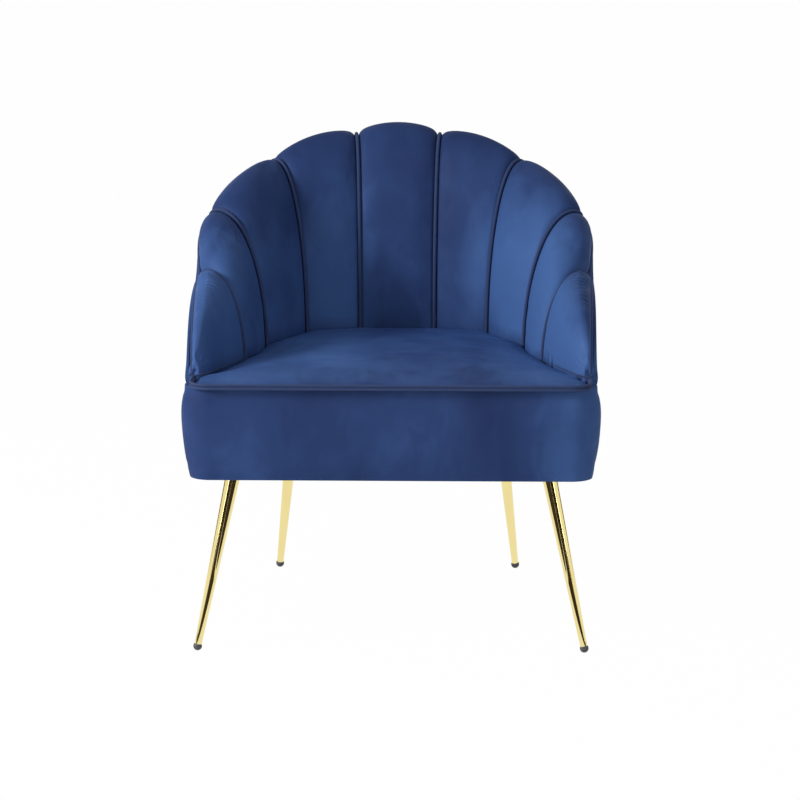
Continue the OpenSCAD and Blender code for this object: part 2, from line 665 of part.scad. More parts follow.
// Distance from the glide's middle to the end of the tube that it plugs
collar = sqrt(pow(glide_d / 2, 2) - pow(leg_foot_d / 2, 2));
stem_l = 1.8 * leg_foot_d;
screw_gap = 0.25;
module leg(side, end) {
    l = norm(leg_rise(side, end));
    long = l + leg_top_d;
    function d_at(h) = between(leg_foot_d, leg_top_d, (h - collar) / (l - collar));
    color(gold) {
        difference() {
            on_leg_axis(side, end)
                translate([0, 0, collar])
                cylinder(h = long - collar, d1 = leg_foot_d, d2 = d_at(long), $fn = 48);
            on_leg_axis(side, end)
                translate([0, 0, collar - overrun])
                cylinder(h = long - collar + 2 * overrun, d1 = d_at(collar - overrun) - 2 * tube_wall,
                         d2 = d_at(long + overrun) - 2 * tube_wall, $fn = 48);
            translate(leg_top(side, end) + [-mount_w, -mount_w, mount_t / 2])
                cube([2 * mount_w, 2 * mount_w, 2 * leg_top_d]);
        }
        difference() {
            translate(leg_top(side, end) - [mount_w / 2, mount_w / 2, 0]) cube([mount_w, mount_w, mount_t]);
            at_screws(side, end) translate([0, 0, base_h - mount_t - overrun])
                cylinder(h = mount_t + 2 * overrun, d = screw_d + 2 * screw_gap, $fn = 32);
        }
    }
}
module glide(side, end) {
    color(glide_gray)
    difference() {
        on_leg_axis(side, end) union() {
            difference() {
                sphere(d = glide_d, $fn = 48);
                translate([-glide_d, -glide_d, collar]) cube(2 * glide_d);
            }
            cylinder(h = collar + stem_l, d = leg_foot_d - 2 * tube_wall - 2 * screw_gap, $fn = 32);
        }
        translate(leg_foot(side, end) - [glide_d, glide_d, glide_z + 2 * glide_d]) cube(2 * glide_d);
    }
}
head_h = 0.55 * screw_d;
module leg_screws() {
    r = screw_d / 2;
    head_r = 2 * r;
    dome_r = 1.3 * r;
    color(zinc)
    for (side = [-1, 1], end = [0, 1])
        at_screws(side, end)
        translate([0, 0, base_h - mount_t])
        rotate_extrude($fn = 32)
        polygon([[0, -head_h], [dome_r, -head_h], [head_r, -head_h / 2], [head_r, 0],
                 [r, 0], [r, screw_l - r], [0, screw_l]]);
}
module screw_holes() {
    for (side = [-1, 1], end = [0, 1])
        at_screws(side, end)
        translate([0, 0, base_h - overrun])
        cylinder(h = screw_l + 2 * overrun, d = screw_d + 2 * screw_gap, $fn = 32);
}
module dust_cover() {
    color(dust_black)
    difference() {
        translate([0, 0, base_h]) linear_extrude(dust_t) polygon(inset_plan(base_taper + hem_w + soft_gap));
        screw_holes();
    }
}
// Plan points at which the front rail and the rear rail meet the side ones
rail_lap = 2;
rear_from = 9;
module front_rail() rail(len(shell_plan) - rail_lap, len(plan) + rail_lap - 1);
module side_rail_left() rail(rail_lap, rear_from);
module side_rail_right() rail(side_steps - rear_from, side_steps - rail_lap);
module rear_rail() rail(rear_from, side_steps - rear_from);

base_plate();
front_rail();
side_rail_left();
side_rail_right();
rear_rail();
board(-0.5, rib_t);  // rib_left_1
board(-1.5, rib_t);  // rib_left_2
board(-2.5, rib_t);  // rib_left_3
board(-3.5, rib_t);  // rib_left_4
board(0.5, rib_t);  // rib_right_1
board(1.5, rib_t);  // rib_right_2
board(2.5, rib_t);  // rib_right_3
board(3.5, rib_t);  // rib_right_4
board(-post_q, post_t);  // arm_post_left
board(post_q, post_t);  // arm_post_right
rim_rails();
tack_rails();
webbing_lengthwise();
webbing_crosswise();
felt_pad();
seat_foam();
seat_cover();
seat_welt();
base_wadding();
base_cover();
dust_cover();
channel_foam(0);  // channel_foam_center
channel_foam(-1);  // channel_foam_left_1
channel_foam(-2);  // channel_foam_left_2
channel_foam(-3);  // channel_foam_left_3
channel_foam(-4);  // channel_foam_left_4
channel_foam(1);  // channel_foam_right_1
channel_foam(2);  // channel_foam_right_2
channel_foam(3);  // channel_foam_right_3
channel_foam(4);  // channel_foam_right_4
channel_cover(0);  // channel_cover_center
channel_cover(-1);  // channel_cover_left_1
channel_cover(-2);  // channel_cover_left_2
channel_cover(-3);  // channel_cover_left_3
channel_cover(-4);  // channel_cover_left_4
channel_cover(1);  // channel_cover_right_1
channel_cover(2);  // channel_cover_right_2
channel_cover(3);  // channel_cover_right_3
channel_cover(4);  // channel_cover_right_4
seam_piping();
rim_piping();
outside_panel(-back_end, back_end);  // outside_back
outside_panel(-panel_end, -arm_start);  // outside_arm_left
outside_panel(arm_start, panel_end);  // outside_arm_right
leg(-1, 0);  // leg_front_left
mirror([1, 0, 0]) leg(-1, 0);  // leg_front_right
leg(-1, 1);  // leg_rear_left
mirror([1, 0, 0]) leg(-1, 1);  // leg_rear_right
glide(-1, 0);  // glide_front_left
glide(1, 0);  // glide_front_right
glide(-1, 1);  // glide_rear_left
glide(1, 1);  // glide_rear_right
leg_screws();
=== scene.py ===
import enum
import logging
import math
from dataclasses import dataclass, field, replace
from typing import Any, Callable, Sequence

import bpy
import numpy as np
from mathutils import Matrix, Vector


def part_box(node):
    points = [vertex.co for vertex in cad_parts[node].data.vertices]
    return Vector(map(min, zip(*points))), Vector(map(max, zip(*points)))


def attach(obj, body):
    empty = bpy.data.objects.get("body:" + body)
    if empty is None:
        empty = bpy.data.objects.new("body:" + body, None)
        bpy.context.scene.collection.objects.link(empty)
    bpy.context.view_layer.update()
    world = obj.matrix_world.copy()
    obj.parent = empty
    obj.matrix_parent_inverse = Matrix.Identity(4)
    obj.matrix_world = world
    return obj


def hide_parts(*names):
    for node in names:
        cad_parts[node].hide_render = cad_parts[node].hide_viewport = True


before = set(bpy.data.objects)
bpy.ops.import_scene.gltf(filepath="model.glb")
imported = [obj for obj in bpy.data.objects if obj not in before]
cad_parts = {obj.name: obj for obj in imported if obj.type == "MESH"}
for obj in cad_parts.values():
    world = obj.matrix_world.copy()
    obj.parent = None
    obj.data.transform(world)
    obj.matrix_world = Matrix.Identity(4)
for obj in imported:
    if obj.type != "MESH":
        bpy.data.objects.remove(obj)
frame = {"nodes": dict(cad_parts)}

logging.basicConfig(level=logging.INFO, format="%(name)s: %(message)s")
log = logging.getLogger("tub_chair")

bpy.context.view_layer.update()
MM = 0.001
Point = Sequence[float]


# ---------------------------------------------------------------- materials


class Val:
    """A shader socket that takes part in Python expressions, each operator adding a Math node."""

    def __init__(self, recipe: "Recipe", socket: Any) -> None:
        """Wraps a socket.

        Args:
            recipe: the material's recipe, which adds the nodes.
            socket: the output socket that carries the value.
        """
        self.recipe = recipe
        self.socket = socket

    def _math(self, operation: str, a: Any, b: Any) -> "Val":
        """Adds a Math node.

        Args:
            operation: the node's operation.
            a: first value or Val.
            b: second value or Val.

        Returns:
            The node's result.
        """
        return self.recipe.node("ShaderNodeMath", {"operation": operation}, {0: a, 1: b})

    def __add__(self, other: Any) -> "Val":
        """Sum."""
        return self._math("ADD", self, other)

    def __sub__(self, other: Any) -> "Val":
        """Difference."""
        return self._math("SUBTRACT", self, other)

    def __rsub__(self, other: Any) -> "Val":
        """Difference the other way round."""
        return self._math("SUBTRACT", other, self)

    def __mul__(self, other: Any) -> "Val":
        """Product."""
        return self._math("MULTIPLY", self, other)

    def span(self, low: float, high: float, to_low: float = 0.0, to_high: float = 1.0) -> "Val":
        """Maps a range onto another one, clamped.

        Args:
            low: start of the range that is read.
            high: its end.
            to_low: value at the start.
            to_high: value at the end.

        Returns:
            The mapped value.
        """
        return self.recipe.node(
            "ShaderNodeMapRange", {"clamp": True}, {0: self, 1: low, 2: high, 3: to_low, 4: to_high}
        )


class Recipe:
    """Builds one material's nodes round a Principled shader."""

    def __init__(self, name: str) -> None:
        """Starts an empty material.

        Args:
            name: the material's name.
        """
        self.material = bpy.data.materials.new(name)
        self.material.use_nodes = True
        self.tree = self.material.node_tree
        self.tree.nodes.clear()
        self.output = self.tree.nodes.new("ShaderNodeOutputMaterial")
        self.shader = self.tree.nodes.new("ShaderNodeBsdfPrincipled")
        self.tree.links.new(self.shader.outputs["BSDF"], self.output.inputs["Surface"])

    def put(self, socket: Any, value: Any) -> None:
        """Links a Val to a socket, or sets the socket's own value.

        Args:
            socket: the input socket.
            value: a Val, a number, or a colour or vector.
        """
        if isinstance(value, Val):
            self.tree.links.new(value.socket, socket)
        else:
            socket.default_value = value

    def node(
        self, kind: str, settings: dict | None = None, inputs: dict | None = None, output: Any = 0,
    ) -> Val:
        """Adds a node.

        Args:
            kind: the node's type.
            settings: its own settings, set first.
            inputs: values or links of its sockets, by name or number.
            output: the socket that is handed back.

        Returns:
            That output socket.
        """
        made = self.tree.nodes.new(kind)
        for key, value in (settings or {}).items():
            setattr(made, key, value)
        for key, value in (inputs or {}).items():
            self.put(made.inputs[key], value)
        return Val(self, made.outputs[output])

    def place(self, scale: Point = (1.0, 1.0, 1.0), turn: Point = (0.0, 0.0, 0.0)) -> Val:
        """Object coordinates, stretched and turned.

        Args:
            scale: stretch along each axis.
            turn: turn about each axis, in radians.

        Returns:
            The coordinates.
        """
        where = self.node("ShaderNodeTexCoord", output="Object")
        return self.node("ShaderNodeMapping", {}, {"Vector": where, "Scale": scale, "Rotation": turn})

    def noise(
        self, where: Val, scale: float, detail: float = 2.0, rough: float = 0.5, warp: float = 0.0,
    ) -> Val:
        """Noise from 0 to 1.

        Args:
            where: the coordinates.
            scale: features per metre.
            detail: octaves.
            rough: weight of the fine octaves.
            warp: distortion.

        Returns:
            The noise.
        """
        inputs = {"Vector": where, "Scale": scale, "Detail": detail, "Roughness": rough, "Distortion": warp}
        return self.node("ShaderNodeTexNoise", {}, inputs)

    def mix(self, factor: Any, a: Any, b: Any) -> Val:
        """Mixes two colours.

        Args:
            factor: 0 for a, 1 for b.
            a: colour or Val.
            b: colour or Val.

        Returns:
            The mixed colour.
        """
        made = self.tree.nodes.new("ShaderNodeMix")
        made.data_type = "RGBA"
        ports = [s for s in made.inputs if s.type == "RGBA"]
        self.put(made.inputs[0], factor)
        self.put(ports[0], a)
        self.put(ports[1], b)
        return Val(self, next(s for s in made.outputs if s.type == "RGBA"))

    def bump(self, height: Val, strength: float, distance: float, under: Val | None = None) -> Val:
        """Bump from a height.

        Args:
            height: the height.
            strength: how much of it is used.
            distance: what a height of 1 stands for, in metres.
            under: a coarser bump that this one lies on.

        Returns:
            The normal.
        """
        inputs: dict = {"Height": height, "Strength": strength, "Distance": distance}
        if under is not None:
            inputs["Normal"] = under
        return self.node("ShaderNodeBump", {}, inputs, "Normal")

    def finish(self, **sockets: Any) -> bpy.types.Material:
        """Sets the shader's sockets.

        Args:
            sockets: values or links, by the socket's name with underscores.

        Returns:
            The material.
        """
        for key, value in sockets.items():
            self.put(self.shader.inputs[key.replace("_", " ")], value)
        return self.material


def tone(red: float, green: float, blue: float) -> tuple[float, float, float, float]:
    """A linear colour from display values of 0 to 255.

    Args:
        red: red.
        green: green.
        blue: blue.

    Returns:
        The colour with an alpha of 1.
    """
    parts = [c / 255 for c in (red, green, blue)]
    linear = [c / 12.92 if c <= 0.04045 else ((c + 0.055) / 1.055) ** 2.4 for c in parts]
    return linear[0], linear[1], linear[2], 1.0


@dataclass(frozen=True)
class Velvet:
    """Short-pile velvet: a deep ground, a pile with soft patches of brushing, painted light and shade by
    position, and a faint sheen.
    """

    name: str = "navy_velvet"
    deep: tuple = tone(30, 46, 87)
    mid: tuple = tone(47, 70, 119)
    # Lightest tone, reached by random brushing and by the painted highlight inside the arms
    brushed_and_highlight: tuple = tone(74, 110, 169)
    sheen: tuple = tone(84, 136, 220)
    sheen_weight: float = 0.12
    gloss: float = 0.1
    roughness: float = 0.6
    ground: float = 0.22
    patch_share: float = 0.34
    cloud_share: float = 0.2
    # Strengths of the painted highlight inside the right and left arms and of the painted shade on the
    # crests; the bounds below place them
    painted_light_right: float = 0.75
    painted_light_left: float = 0.34
    painted_shade_crest: float = 0.36
    seat_z: tuple = (0.43, 0.46)
    crest_z: tuple = (0.56, 0.78)
    lean: tuple = (0.52, 0.43, 0.0, 0.06)
    right_x: tuple = (0.09, 0.18)
    right_end_x: tuple = (0.24, 0.31)
    left_x: tuple = (-0.03, -0.08)
    left_end_x: tuple = (-0.13, -0.18)
    left_end_z: tuple = (0.44, 0.52, 0.0, 0.6)
    base_z: tuple = (0.44, 0.41)

    def nap_and_painted_light(self, r: Recipe, where: Val, patches: Val, clouds: Val) -> Val:
        """Random patches of brushing in the pile plus painted light and shade by position: a painted
        highlight inside the right arm, a weaker one inside the left, painted shade on the crests and on the
        base.

        Args:
            r: the recipe.
            where: object coordinates.
            patches: broad noise.
            clouds: finer noise.

        Returns:
            The nap, about 0 to 1.
        """
        x, z = (r.node("ShaderNodeSeparateXYZ", {}, {0: where}, axis) for axis in (0, 2))
        # crest marks the painted shade on the crests; the heights between seat and crest take the painted
        # highlight
        crest = z.span(*self.crest_z)
        painted_light_height = z.span(*self.seat_z) * (1 - crest)
        leant = x - z.span(*self.lean)
        # Painted highlight inside the right arm, fading towards its end
        right = leant.span(*self.right_x) * (1 - leant.span(*self.right_end_x))
        # Weaker painted highlight inside the left arm, fading at its end
        left = x.span(*self.left_x) * (1 - x.span(*self.left_end_x) * z.span(*self.left_end_z))
        # Painted shade on the base: darker on its left and towards its top, a painted highlight at its right
        # corner
        painted_base_sides = x.span(0.19, 0.31, 0.18, -0.22) + x.span(-0.2, -0.31) * 0.12
        base = z.span(*self.base_z) * (painted_base_sides + z.span(0.33, 0.41) * 0.1)
        # Painted highlight inside the arms between seat and crest
        inside = painted_light_height * (right * self.painted_light_right + left * self.painted_light_left)
        # Random patches: the velvet's own uneven tone
        loose = patches * self.patch_share + clouds * self.cloud_share
        return loose + inside - base - crest * self.painted_shade_crest + self.ground

    def make(self) -> bpy.types.Material:
        """Builds the material.

        Returns:
            The material.
        """
        r = Recipe(self.name)
        where = r.place()
        patches = r.noise(r.place((1.0, 1.0, 0.7)), 6.0, 2.0, 0.4, 0.3).span(0.3, 0.72)
        clouds = r.noise(r.place((1.0, 1.0, 0.6), (0.1, 0.25, 0.0)), 21.0, 3.0, 0.5, 0.5).span(0.28, 0.78)
        pile = r.noise(where, 1500.0, 3.0, 0.7)
        nap_and_painted_light = self.nap_and_painted_light(r, where, patches, clouds)
        # Painted light and shade by position, together with the random brushing, move this colour from deep
        # to mid and on to the highlight tone
        colour = r.mix(nap_and_painted_light.span(0.0, 0.5), self.deep, self.mid)
        colour = r.mix(nap_and_painted_light.span(0.4, 0.95) * 0.8, colour, self.brushed_and_highlight)
        colour = r.mix(pile.span(0.3, 0.7) * 0.35, colour, self.deep)
        rough = clouds.span(0.0, 1.0, self.roughness + 0.06, self.roughness - 0.06)
        soft = r.bump(clouds, 0.12, 0.0012)
        fine = r.bump(pile, 0.35, 0.0004, soft)
        return r.finish(
            Base_Color=colour, Roughness=rough, Normal=fine, Sheen_Weight=self.sheen_weight,
            Sheen_Roughness=0.3, Sheen_Tint=self.sheen, Specular_IOR_Level=self.gloss,
        )


@dataclass(frozen=True)
class Brass:
    """Polished gold plating with faint smears and a few hairlines along the tube."""

    name: str = "polished_gold"
    colour: tuple = tone(240, 224, 160)
    deep: tuple = tone(222, 196, 120)

    def make(self) -> bpy.types.Material:
        """Builds the material.

        Returns:
            The material.
        """
        r = Recipe(self.name)
        where = r.place()
        smears = r.noise(r.place((1.0, 1.0, 0.3)), 22.0, 3.0, 0.5, 0.8).span(0.35, 0.8)
        hairs = r.noise(r.place((1.0, 1.0, 0.04)), 900.0, 2.0, 0.6).span(0.62, 0.8)
        colour = r.mix(smears * 0.35, self.colour, self.deep)
        rough = smears * 0.03 + hairs * 0.04 + 0.04
        waves = r.bump(r.noise(where, 120.0), 0.02, 0.00005)
        return r.finish(Base_Color=colour, Metallic=1.0, Roughness=rough, Normal=waves)


@dataclass(frozen=True)
class Moulded:
    """Moulded plastic or rubber with a fine grain and scuffs where it is worn."""

    name: str = "glide_plastic"
    colour: tuple = tone(66, 66, 70)
    worn: tuple = tone(92, 91, 92)
    roughness: float = 0.5

    def make(self) -> bpy.types.Material:
        """Builds the material.

        Returns:
            The material.
        """
        r = Recipe(self.name)
        where = r.place()
        scuffs = r.noise(where, 240.0, 4.0, 0.6, 1.0).span(0.55, 0.75)
        grain = r.noise(where, 1800.0, 2.0)
        colour = r.mix(scuffs * 0.5, self.colour, self.worn)
        return r.finish(
            Base_Color=colour, Roughness=scuffs * 0.2 + self.roughness, Normal=r.bump(grain, 0.25, 0.0001)
        )


@dataclass(frozen=True)
class Plywood:
    """Birch plywood: long grain on its faces and thin dark glue lines between the plies."""

    name: str = "birch_plywood"
    light: tuple = tone(222, 196, 152)
    dark: tuple = tone(186, 150, 102)
    glue: tuple = tone(122, 92, 58)

    def make(self) -> bpy.types.Material:
        """Builds the material.

        Returns:
            The material.
        """
        r = Recipe(self.name)
        grain = r.noise(r.place((1.0, 9.0, 9.0)), 14.0, 5.0, 0.6, 0.8)
        plies = r.node(
            "ShaderNodeTexWave", {"bands_direction": "Z"},
            {"Vector": r.place(), "Scale": 105.0, "Distortion": 0.25, "Detail": 1.0}, "Fac",
        )
        colour = r.mix(grain.span(0.35, 0.7), self.light, self.dark)
        colour = r.mix(plies.span(0.86, 0.98) * 0.45, colour, self.glue)
        return r.finish(Base_Color=colour, Roughness=grain * 0.2 + 0.52, Normal=r.bump(grain, 0.2, 0.0004))


@dataclass(frozen=True)
class Woven:
    """A plain weave of two threads: webbing, or the cloth under the seat."""

    name: str
    light: tuple
    dark: tuple
    pitch: float = 420.0
    roughness: float = 0.85

    def make(self) -> bpy.types.Material:
        """Builds the material.

        Returns:
            The material.
        """
        r = Recipe(self.name)
        waves = [
            r.node("ShaderNodeTexWave", {"bands_direction": axis},
                   {"Vector": r.place(), "Scale": self.pitch / 3.2, "Distortion": 0.6, "Detail": 2.0}, "Fac")
            for axis in ("X", "Y")
        ]
        weave = waves[0] * waves[1]
        fuzz = r.noise(r.place(), 700.0, 3.0, 0.6)
        colour = r.mix(weave.span(0.1, 0.7) * 0.8 + fuzz * 0.2, self.dark, self.light)
        threads = r.bump(weave, 0.4, 0.0004)
        return r.finish(Base_Color=colour, Roughness=fuzz * 0.1 + self.roughness, Normal=threads)


@dataclass(frozen=True)
class Fleece:
    """Felt: a matt mass of fibres."""

    name: str
    light: tuple
    dark: tuple
    cells: float = 900.0

    def make(self) -> bpy.types.Material:
        """Builds the material.

        Returns:
            The material.
        """
        r = Recipe(self.name)
        cells = r.noise(r.place(), self.cells, 3.0, 0.65, 0.4)
        clouds = r.noise(r.place(), 40.0, 3.0)
        colour = r.mix(cells.span(0.35, 0.7) * 0.7 + clouds * 0.3, self.dark, self.light)
        return r.finish(Base_Color=colour, Roughness=clouds * 0.08 + 0.88, Normal=r.bump(cells, 0.5, 0.0005))


@dataclass(frozen=True)
class Zinc:
    """Zinc-plated steel with a cloudy, faintly brushed skin."""

    name: str = "zinc_plate"
    light: tuple = tone(190, 192, 196)
    dark: tuple = tone(150, 152, 156)

    def make(self) -> bpy.types.Material:
        """Builds the material.

        Returns:
            The material.
        """
        r = Recipe(self.name)
        clouds = r.noise(r.place(), 260.0, 4.0, 0.6, 0.5).span(0.3, 0.7)
        return r.finish(
            Base_Color=r.mix(clouds, self.light, self.dark), Metallic=1.0, Roughness=clouds * 0.2 + 0.28,
            Normal=r.bump(clouds, 0.1, 0.0001),
        )


class Finish(enum.Enum):
    """The record's material slots that are seen, each with the finish that dresses it."""

    VELVET = ("velvet", Velvet())
    # The piping's velvet gets the same painted highlight and painted shade by position
    PIPING = ("piping_velvet", Velvet(
        name="piping_velvet", deep=tone(16, 33, 74), mid=tone(26, 48, 98), brushed_and_highlight=tone(48, 84, 150),
        sheen_weight=0.03, gloss=0.0, roughness=0.5))
    PLYWOOD = ("plywood", Plywood())
    WEBBING = ("webbing", Woven("jute_webbing", tone(196, 170, 118), tone(138, 112, 70)))
    FELT = ("felt", Fleece("grey_felt", tone(172, 172, 168), tone(128, 128, 126)))
    DUST_CLOTH = ("dust_cloth", Woven("dust_cloth", tone(46, 46, 49), tone(24, 24, 26), 900.0))
    GOLD = ("gold", Brass())
    GLIDE = ("glide_rubber", Moulded())
    ZINC = ("zinc", Zinc())

    @property
    def slot(self) -> str:
        """Name of the slot in the record."""
        return self.value[0]

    @property
    def material(self) -> bpy.types.Material:
        """The finish's material, made when it is first asked for."""
        made = bpy.data.materials.get(self.value[1].name)
        return made or self.value[1].make()


# ---------------------------------------------------------------- forms


def unit(a: np.ndarray) -> np.ndarray:
    """Vectors of length 1 along the last axis.

    Args:
        a: the vectors.

    Returns:
        The unit vectors.
    """
    return a / np.linalg.norm(a, axis=-1, keepdims=True)


def between(a: Any, b: Any, share: Any) -> Any:
    """A value from a at share 0 to b at share 1."""
    return a + (b - a) * share


@dataclass(frozen=True)
class ShellForm:
    """The chair's surfaces in millimetres. A station q runs from -4.5 at the left arm's tip to 4.5 at the
    right one's with the seams at the halves, and v runs up a channel: -1 to 0 in the tuck behind the seat,
    0 to 1 up to the crest, 1 to 2 over the roll."""

    half_w: float = 330.0
    overall_d: float = 622.0
    seat_h: float = 430.0
    base_h: float = 284.0
    back_rise: float = 336.0
    crown_low: float = 8.0
    crown_high: float = 16.0
    roll_w: float = 20.0
    roll_drop: float = 10.0
    foam_t: float = 30.0
    piping_d: float = 6.0
    soft_gap: float = 0.4
    tuck: float = 43.0
    base_lip: float = 4.6
    panel_t: float = 4.2
    tip: float = 4.5
    last_seam: float = 3.5
    tip_clear: float = 0.8
    step: float = 0.002
    roll_share: float = 0.3
    drop_share: float = 0.5
    foam_share: float = 0.4
    lip_share: float = 0.15
    lip_out: float = 1.4
    crown_power: float = 0.6
    rise_power: float = 1.5
    roll_fade: float = 0.75
    flare: float = 1.2
    swell_share: float = 0.25
    shoulder_share: float = 1.2
    foot_x: tuple = (0.194, 0.467, 0.652, 0.736, 0.912)
    foot_y: tuple = (0.323, 0.266, 0.060, -0.140, -0.397)
    rim_x: tuple = (0.224, 0.667, 0.949, 0.981, 0.966)
    rim_y: tuple = (0.4775, 0.379, 0.153, -0.032, -0.385)
    crests: tuple = (0.976, 0.862, 0.663, 0.416, 0.052)
    low_x: tuple = (0.206, 0.606, 0.895, 0.976, 0.976)
    low_y: tuple = (0.421, 0.341, 0.148, -0.039, -0.383)

    def at(self, shares: tuple, q: np.ndarray, odd: bool = False) -> np.ndarray:
        """Smooth value of a mirrored table at a station.

        Args:
            shares: the right-hand values at the seams and the tip.
            q: the stations.
            odd: whether the left-hand values change sign.

        Returns:
            The values.
        """
        right = list(shares) + [2 * shares[-1] - shares[-2]]
        full = np.array([-v if odd else v for v in reversed(right)] + right)
        s = np.asarray(q, float) + self.tip
        i = np.clip(np.floor(s), 0, 8).astype(int)
        t = s - i
        a, b, c, d = full[i], full[i + 1], full[i + 2], full[i + 3]
        return (2 * b + (c - a) * t + (2 * a - 5 * b + 4 * c - d) * t**2 + (3 * b - a - 3 * c + d) * t**3) / 2

    def _plan(self, xs: tuple, ys: tuple, q: Any) -> np.ndarray:
        """A line in plan from two tables of shares."""
        return np.stack([self.half_w * self.at(xs, q, True), self.overall_d * self.at(ys, q)], -1)

    def foot(self, q: Any) -> np.ndarray:
        """Foot of the channels on the seat, in plan."""
        return self._plan(self.foot_x, self.foot_y, q)

    def low(self, q: Any) -> np.ndarray:
        """Outside of the shell at the base, in plan."""
        return self._plan(self.low_x, self.low_y, q)

    def _turn(self, q: Any) -> np.ndarray:
        """Turn of the arm's end, from 0 at the last seam to a right angle at the tip."""
        past = (np.abs(q) - self.last_seam) / (self.tip - self.last_seam)
        return np.clip(past, 0, 1.02) * math.pi / 2

    def rim(self, q: Any) -> np.ndarray:
        """Outer edge of the rolled rim, in plan.

        Args:
            q: the stations.

        Returns:
            The points.
        """
        q = np.asarray(q, float)
        f = np.sin(self._turn(q))
        end = np.stack([
            np.sign(q) * self.half_w * between(self.rim_x[3], self.rim_x[4], f),
            self.overall_d * between(self.rim_y[3], self.rim_y[4], f)], -1)
        return np.where((np.abs(q) <= self.last_seam)[..., None], self._plan(self.rim_x, self.rim_y, q), end)

    def crest(self, q: Any) -> np.ndarray:
        """Height of the crest.

        Args:
            q: the stations.

        Returns:
            The heights.
        """
        end = between(self.crests[4], self.crests[3], np.cos(self._turn(q)))
        share = np.where(np.abs(q) <= self.last_seam, self.at(self.crests, q), end)
        return self.seat_h + self.back_rise * share / self.at(self.crests, 0.0)

    def reach(self, q: Any) -> np.ndarray:
        """Distance in plan from the foot to the rim."""
        return np.linalg.norm(self.rim(q) - self.foot(q), axis=-1)

    def out(self, q: Any) -> np.ndarray:
        """Direction in plan from the foot to the rim."""
        return unit(self.rim(q) - self.foot(q))

    def _roll(self, q: Any) -> tuple:
        """Reach and crest at a station, and the width and drop of the roll there.

        Args:
            q: the stations.

        Returns:
            The four measures.
        """
        reach, crest = self.reach(q), self.crest(q)
        roll = np.minimum(self.roll_w, self.roll_share * reach)
        return reach, crest, roll, np.minimum(self.roll_drop, self.drop_share * (crest - self.seat_h))

    @staticmethod
    def _grid(q: Any, v: Any) -> tuple:
        """Stations and heights as arrays of one shape."""
        return np.broadcast_arrays(np.asarray(q, float), np.asarray(v, float))

    def _spot(self, q: Any, r: np.ndarray, z: np.ndarray) -> np.ndarray:
        """Points at distances from the foot and at heights."""
        return np.concatenate([self.foot(q) + r[..., None] * self.out(q), z[..., None]], -1)

    def line(self, q: Any, v: Any) -> np.ndarray:
        """Channel surface without its crown.

        Args:
            q: stations.
            v: heights along the channel.

        Returns:
            The points.
        """
        q, v = self._grid(q, v)
        reach, crest, roll, drop = self._roll(q)
        up, over = np.clip(v, 0, 1) * math.pi / 2, (np.clip(v, 1, 3) - 1) * math.pi / 2
        r = np.where(v <= 1, (reach - roll) * (1 - np.cos(up)), reach - roll * (1 - np.sin(over)))
        z = np.where(
            v <= 1, self.seat_h + (crest - self.seat_h) * np.sin(up), crest - drop * (1 - np.cos(over)))
        r, z = np.where(v <= 0, 0, r), np.where(v <= 0, self.seat_h + v * self.tuck, z)
        return self._spot(q, r, z)

    def normal(self, q: Any, v: Any) -> np.ndarray:
        """Outward direction of the channel line.

        Args:
            q: stations.
            v: heights along the channel.

        Returns:
            The unit normals.
        """
        q, v = self._grid(q, v)
        along = self.line(q + self.step, v) - self.line(q - self.step, v)
        rise = self.line(q, np.minimum(v + self.step, 2)) - self.line(q, np.maximum(v - self.step, -1))
        return unit(np.cross(along, rise))

    def crown(self, q: Any, v: Any) -> np.ndarray:
        """Height of the channel's crown over its seams.

        Args:
            q: the stations.
            v: heights along the channel.

        Returns:
            The heights.
        """
        u = 2 * (np.abs(q) + 0.5 - np.floor(np.abs(q) + 0.5)) - 1
        w = np.maximum(v, 0)
        across = np.maximum(1 - u * u, 0) ** self.crown_power
        height = between(self.crown_low, self.crown_high, np.minimum(w, 1) ** self.rise_power)
        fade = (1 - self.roll_fade * np.maximum(w - 1, 0)) * np.minimum(1, self.reach(q) / (3 * self.foam_t))
        return across * height * fade

    def skin(self, q: Any, v: Any, depth: Any = 0.0) -> np.ndarray:
        """Crowned surface of the channels, at a depth under it."""
        lift = self.crown(q, v) - depth
        return self.line(q, v) + self.normal(q, v) * np.asarray(lift)[..., None]

    def backing(self, q: Any, v: Any) -> np.ndarray:
        """Back of the channels' foam.

        Args:
            q: the stations.
            v: heights along the channel.

        Returns:
            The points.
        """
        q, v = self._grid(q, v)
        reach, crest, roll, drop = self._roll(q)
        foam = np.minimum(self.foam_t, self.foam_share * reach)
        r1 = np.maximum(reach - roll, foam + 0.2 * roll)
        top = np.maximum(between(self.seat_h, crest, 0.9) - 0.6 * foam, self.seat_h + 0.2 * roll)
        up = np.clip(v, 0, 1) * math.pi / 2
        r = np.where(v <= 1, foam + (r1 - foam) * (1 - np.cos(up)), r1 + (v - 1) * 0.3 * roll)
        z = np.where(v <= 1, self.seat_h + (top - self.seat_h) * np.sin(up), top - (v - 1) * 0.2 * drop)
        z = np.where(v <= 0, self.seat_h + v * self.tuck, z)
        return self._spot(q, r, z)

    def rim_up(self, q: Any) -> np.ndarray:
        """Upward direction square to the rim."""
        t = unit(self.skin(q + self.step, 2.0) - self.skin(q - self.step, 2.0))
        return unit(np.array([0.0, 0.0, 1.0]) - t[..., 2:3] * t)

    def panel_edge(self, q: Any) -> np.ndarray:
        """Upper edge of the outside covers, under the rim's piping.

        Args:
            q: the stations.

        Returns:
            The points.
        """
        reach, crest, _, drop = self._roll(q)
        lip = np.minimum(self.piping_d / 2, self.lip_share * reach)
        p = self.rim(q) + self.out(q) * (lip * self.lip_out)[..., None]
        edge = np.concatenate([p, (crest - drop)[..., None]], -1)
        return edge - self.rim_up(q) * (self.piping_d + 4 * self.soft_gap)

